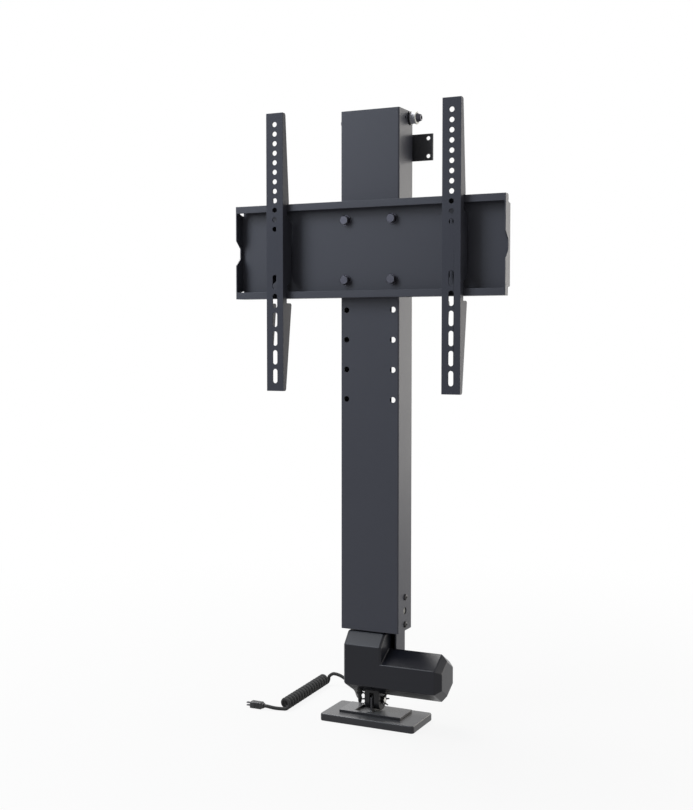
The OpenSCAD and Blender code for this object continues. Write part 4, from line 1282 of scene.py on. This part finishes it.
@dataclass
class Drive:
    """Motor, gears, spindle, tubes and switches inside the lift."""

    finishes: Sequence[Dressing] = (
        (ZINC, 0.3, ("motor_can", "motor_bearing", "thrust_bearing", "spindle_bearing")),
        (ZINC, 0.3, ("push_tube",)), (COAT, 0.3, ("actuator_tube",)),
        (HOUSING_SKIN, 0.3, ("motor_end_cap", "limit_switches")),
        (WHITE_NYLON, 0.3, ("tube_top_bush", "spindle_nut")),
        (BOARD, 0.3, ("limit_switch_strip",)), (ZINC, 0, ("spindle",)),
        (BRONZE, 0, ("worm_wheel",)), (PIN_STEEL, 0, ("worm_shaft",)),
    )

    def dress(self) -> None:
        """Finishes each inner piece."""
        dress_all(self.finishes)


@dataclass
class Rails:
    """Rails, cross plate, wall bracket and glides, in millimetres."""

    finishes: Sequence[Dressing] = (
        (COAT, 0.5, ("rail_left", "rail_right", "cross_plate")),
        (WHITE_NYLON, 0.6, ("top_glide_left", "top_glide_right")),
        (BRACKET_COAT, 0.5, ("wall_bracket",)), (ZINC, 0.2, ("glide_screws",)),
    )
    bolt_x: float = 27.5
    bolt_y: float = 40.0
    bolt_rows: Point = (165, 205)
    cross_x: float = 14.0
    cross_y: float = 37.0
    cross_rows: Point = (70.5, 94)
    bracket_y: float = 43.0
    bracket_rows: Point = (904, 932)

    def build(self) -> None:
        """Finishes the rails and turns their bolts and screws."""
        dress_all(self.finishes)
        HexBolts(
            node="rail_bolts", flats=10.0, head_h=4.0, shank_d=6.0, shank_l=6.0, pitch=1.0,
            thread_l=5.0, places=self.grid(self.bolt_x, self.bolt_y, self.bolt_rows),
        ).build()
        ScrewSet(
            node="cross_plate_screws", shank_l=16.0,
            places=self.grid(self.cross_x, self.cross_y, self.cross_rows),
        ).build()
        ScrewSet(
            node="bracket_screws", shank_l=6.0, recess=Recess.HEX, recess_size=3.0,
            places=[(Way.REAR, (self.bolt_x, self.bracket_y, z)) for z in self.bracket_rows],
        ).build()

    @staticmethod
    def grid(x: float, y: float, rows: Point) -> list[tuple[Way, Point]]:
        """Places on the rear at both sides of the middle, in rows."""
        return [(Way.REAR, (side, y, z)) for side in (-x, x) for z in rows]


@dataclass
class Column:
    """Lifting column with its cap, cross shaft and sliders, in millimetres."""

    finishes: Sequence[Dressing] = (
        (COAT, 0.4, ("outer_column", "column_cap", "crosshead")), (ZINC, 0.3, ("cross_shaft",)),
        (DARK_STEEL, 0.3, ("shaft_collars",)), (GREY_BUSH, 0.4, ("shaft_bushes",)),
        (WHITE_NYLON, 0.3, ("shaft_washers",)),
        (SLIDER_NYLON, 0.5, ("slider_left", "slider_right")),
    )
    side: float = 50.0
    screw_y: float = 8.0
    screw_rows: Point = (160, 204)
    cap_x: float = 34.0
    cap_y: float = 5.0
    cap_z: float = 973.0
    shaft_y: float = 24.0
    shaft_z: float = 962.0
    shaft_end: float = 62.0
    end_profile: Sequence[Point] = (
        (0, 0), (6.6, 0), (7, 0.4), (7, 1.2), (6.4, 2.2), (5.4, 5.6), (5, 6.6), (4.6, 7),
    )
    socket: float = 5.0
    socket_lip: float = 1.05
    socket_heights: Point = (7, 6.8, 4, 3.4)

    def build(self) -> None:
        """Finishes the column and turns its screws."""
        dress_all(self.finishes)
        ScrewSet(
            node="slider_screws", body="carriage", slot="dark_steel", finish=DARK_STEEL,
            head_d=10.5, shank_l=11.5, recess=Recess.HEX, recess_size=3.2, recess_depth=1.8,
            places=[
                (way, (sign * self.side, self.screw_y, z))
                for way, sign in BOTH_SIDES for z in self.screw_rows
            ],
        ).build()
        ScrewSet(
            node="cap_screws", body="carriage", slot="dark_steel", finish=DARK_STEEL,
            head_d=10.0, head_h=2.5, shank_d=5.0, shank_l=18.0,
            recess=Recess.HEX, recess_size=3.2, recess_depth=1.5,
            places=[(Way.UP, (x, self.cap_y, self.cap_z)) for x in (-self.cap_x, self.cap_x)],
        ).build()
        self.build_shaft_ends()

    def build_shaft_ends(self) -> None:
        """Turns the tapered screws that close the cross shaft's two ends."""
        edge = hexagon(self.socket)
        top, rim, floor, point = self.socket_heights
        rings: list[Ring] = [
            *self.end_profile, (lambda a: edge(a) * self.socket_lip, top), (edge, rim),
            (edge, floor), (0, point),
        ]
        moulder = Moulder()
        for way, sign in BOTH_SIDES:
            moulder.turn(rings, way.at((sign * self.shaft_end, self.shaft_y, self.shaft_z)))
        moulder.piece(
            "shaft_end_screws_turned", BOLT_STEEL, "carriage", ("shaft_end_screws",)
        )


@dataclass
class ScreenPlate:
    """Folded screen plate and its bolts, in millimetres."""

    finishes: Sequence[Dressing] = ((COAT, 0.5, ("screen_plate",)), (ZINC, 0.4, ("plate_nuts",)))
    bolt_y: float = -25.8
    washers: Washers = field(default_factory=Washers)

    def build(self) -> None:
        """Finishes the plate and fits its bolts and washers."""
        dress_all(self.finishes)
        self.washers.build()
        HexBolts(
            node="plate_bolts", body="carriage", slot="dark_steel", finish=BOLT_STEEL,
            flats=13.0, head_h=5.5, shank_d=8.0, shank_l=16.3, pitch=1.25, thread_l=9.0,
            places=[(Way.FRONT, (x, self.bolt_y, z)) for x, z in self.washers.places],
        ).build()


@dataclass
class Arms:
    """The two slotted arms that hook over the screen plate."""

    finishes: Sequence[Dressing] = ((ARM_COAT, 0.5, ("arm_left", "arm_right")),)

    def dress(self) -> None:
        """Finishes both arms."""
        dress_all(self.finishes)


def write_sizes() -> None:
    """Brings the scene's placements up to date."""
    bpy.context.view_layer.update()


def main() -> None:
    """Builds the studio, the cord and every sub-assembly in order."""
    logging.basicConfig(level=logging.INFO, format="%(message)s")
    Studio().build()
    plug = Plug().build()
    CordRun().build([plug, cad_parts["plug_pins"]])
    Foot().dress()
    Clevis().build()
    Housing().build()
    Drive().dress()
    Rails().build()
    Column().build()
    ScreenPlate().build()
    Arms().dress()
    write_sizes()


if __name__ == "__main__":
    main()
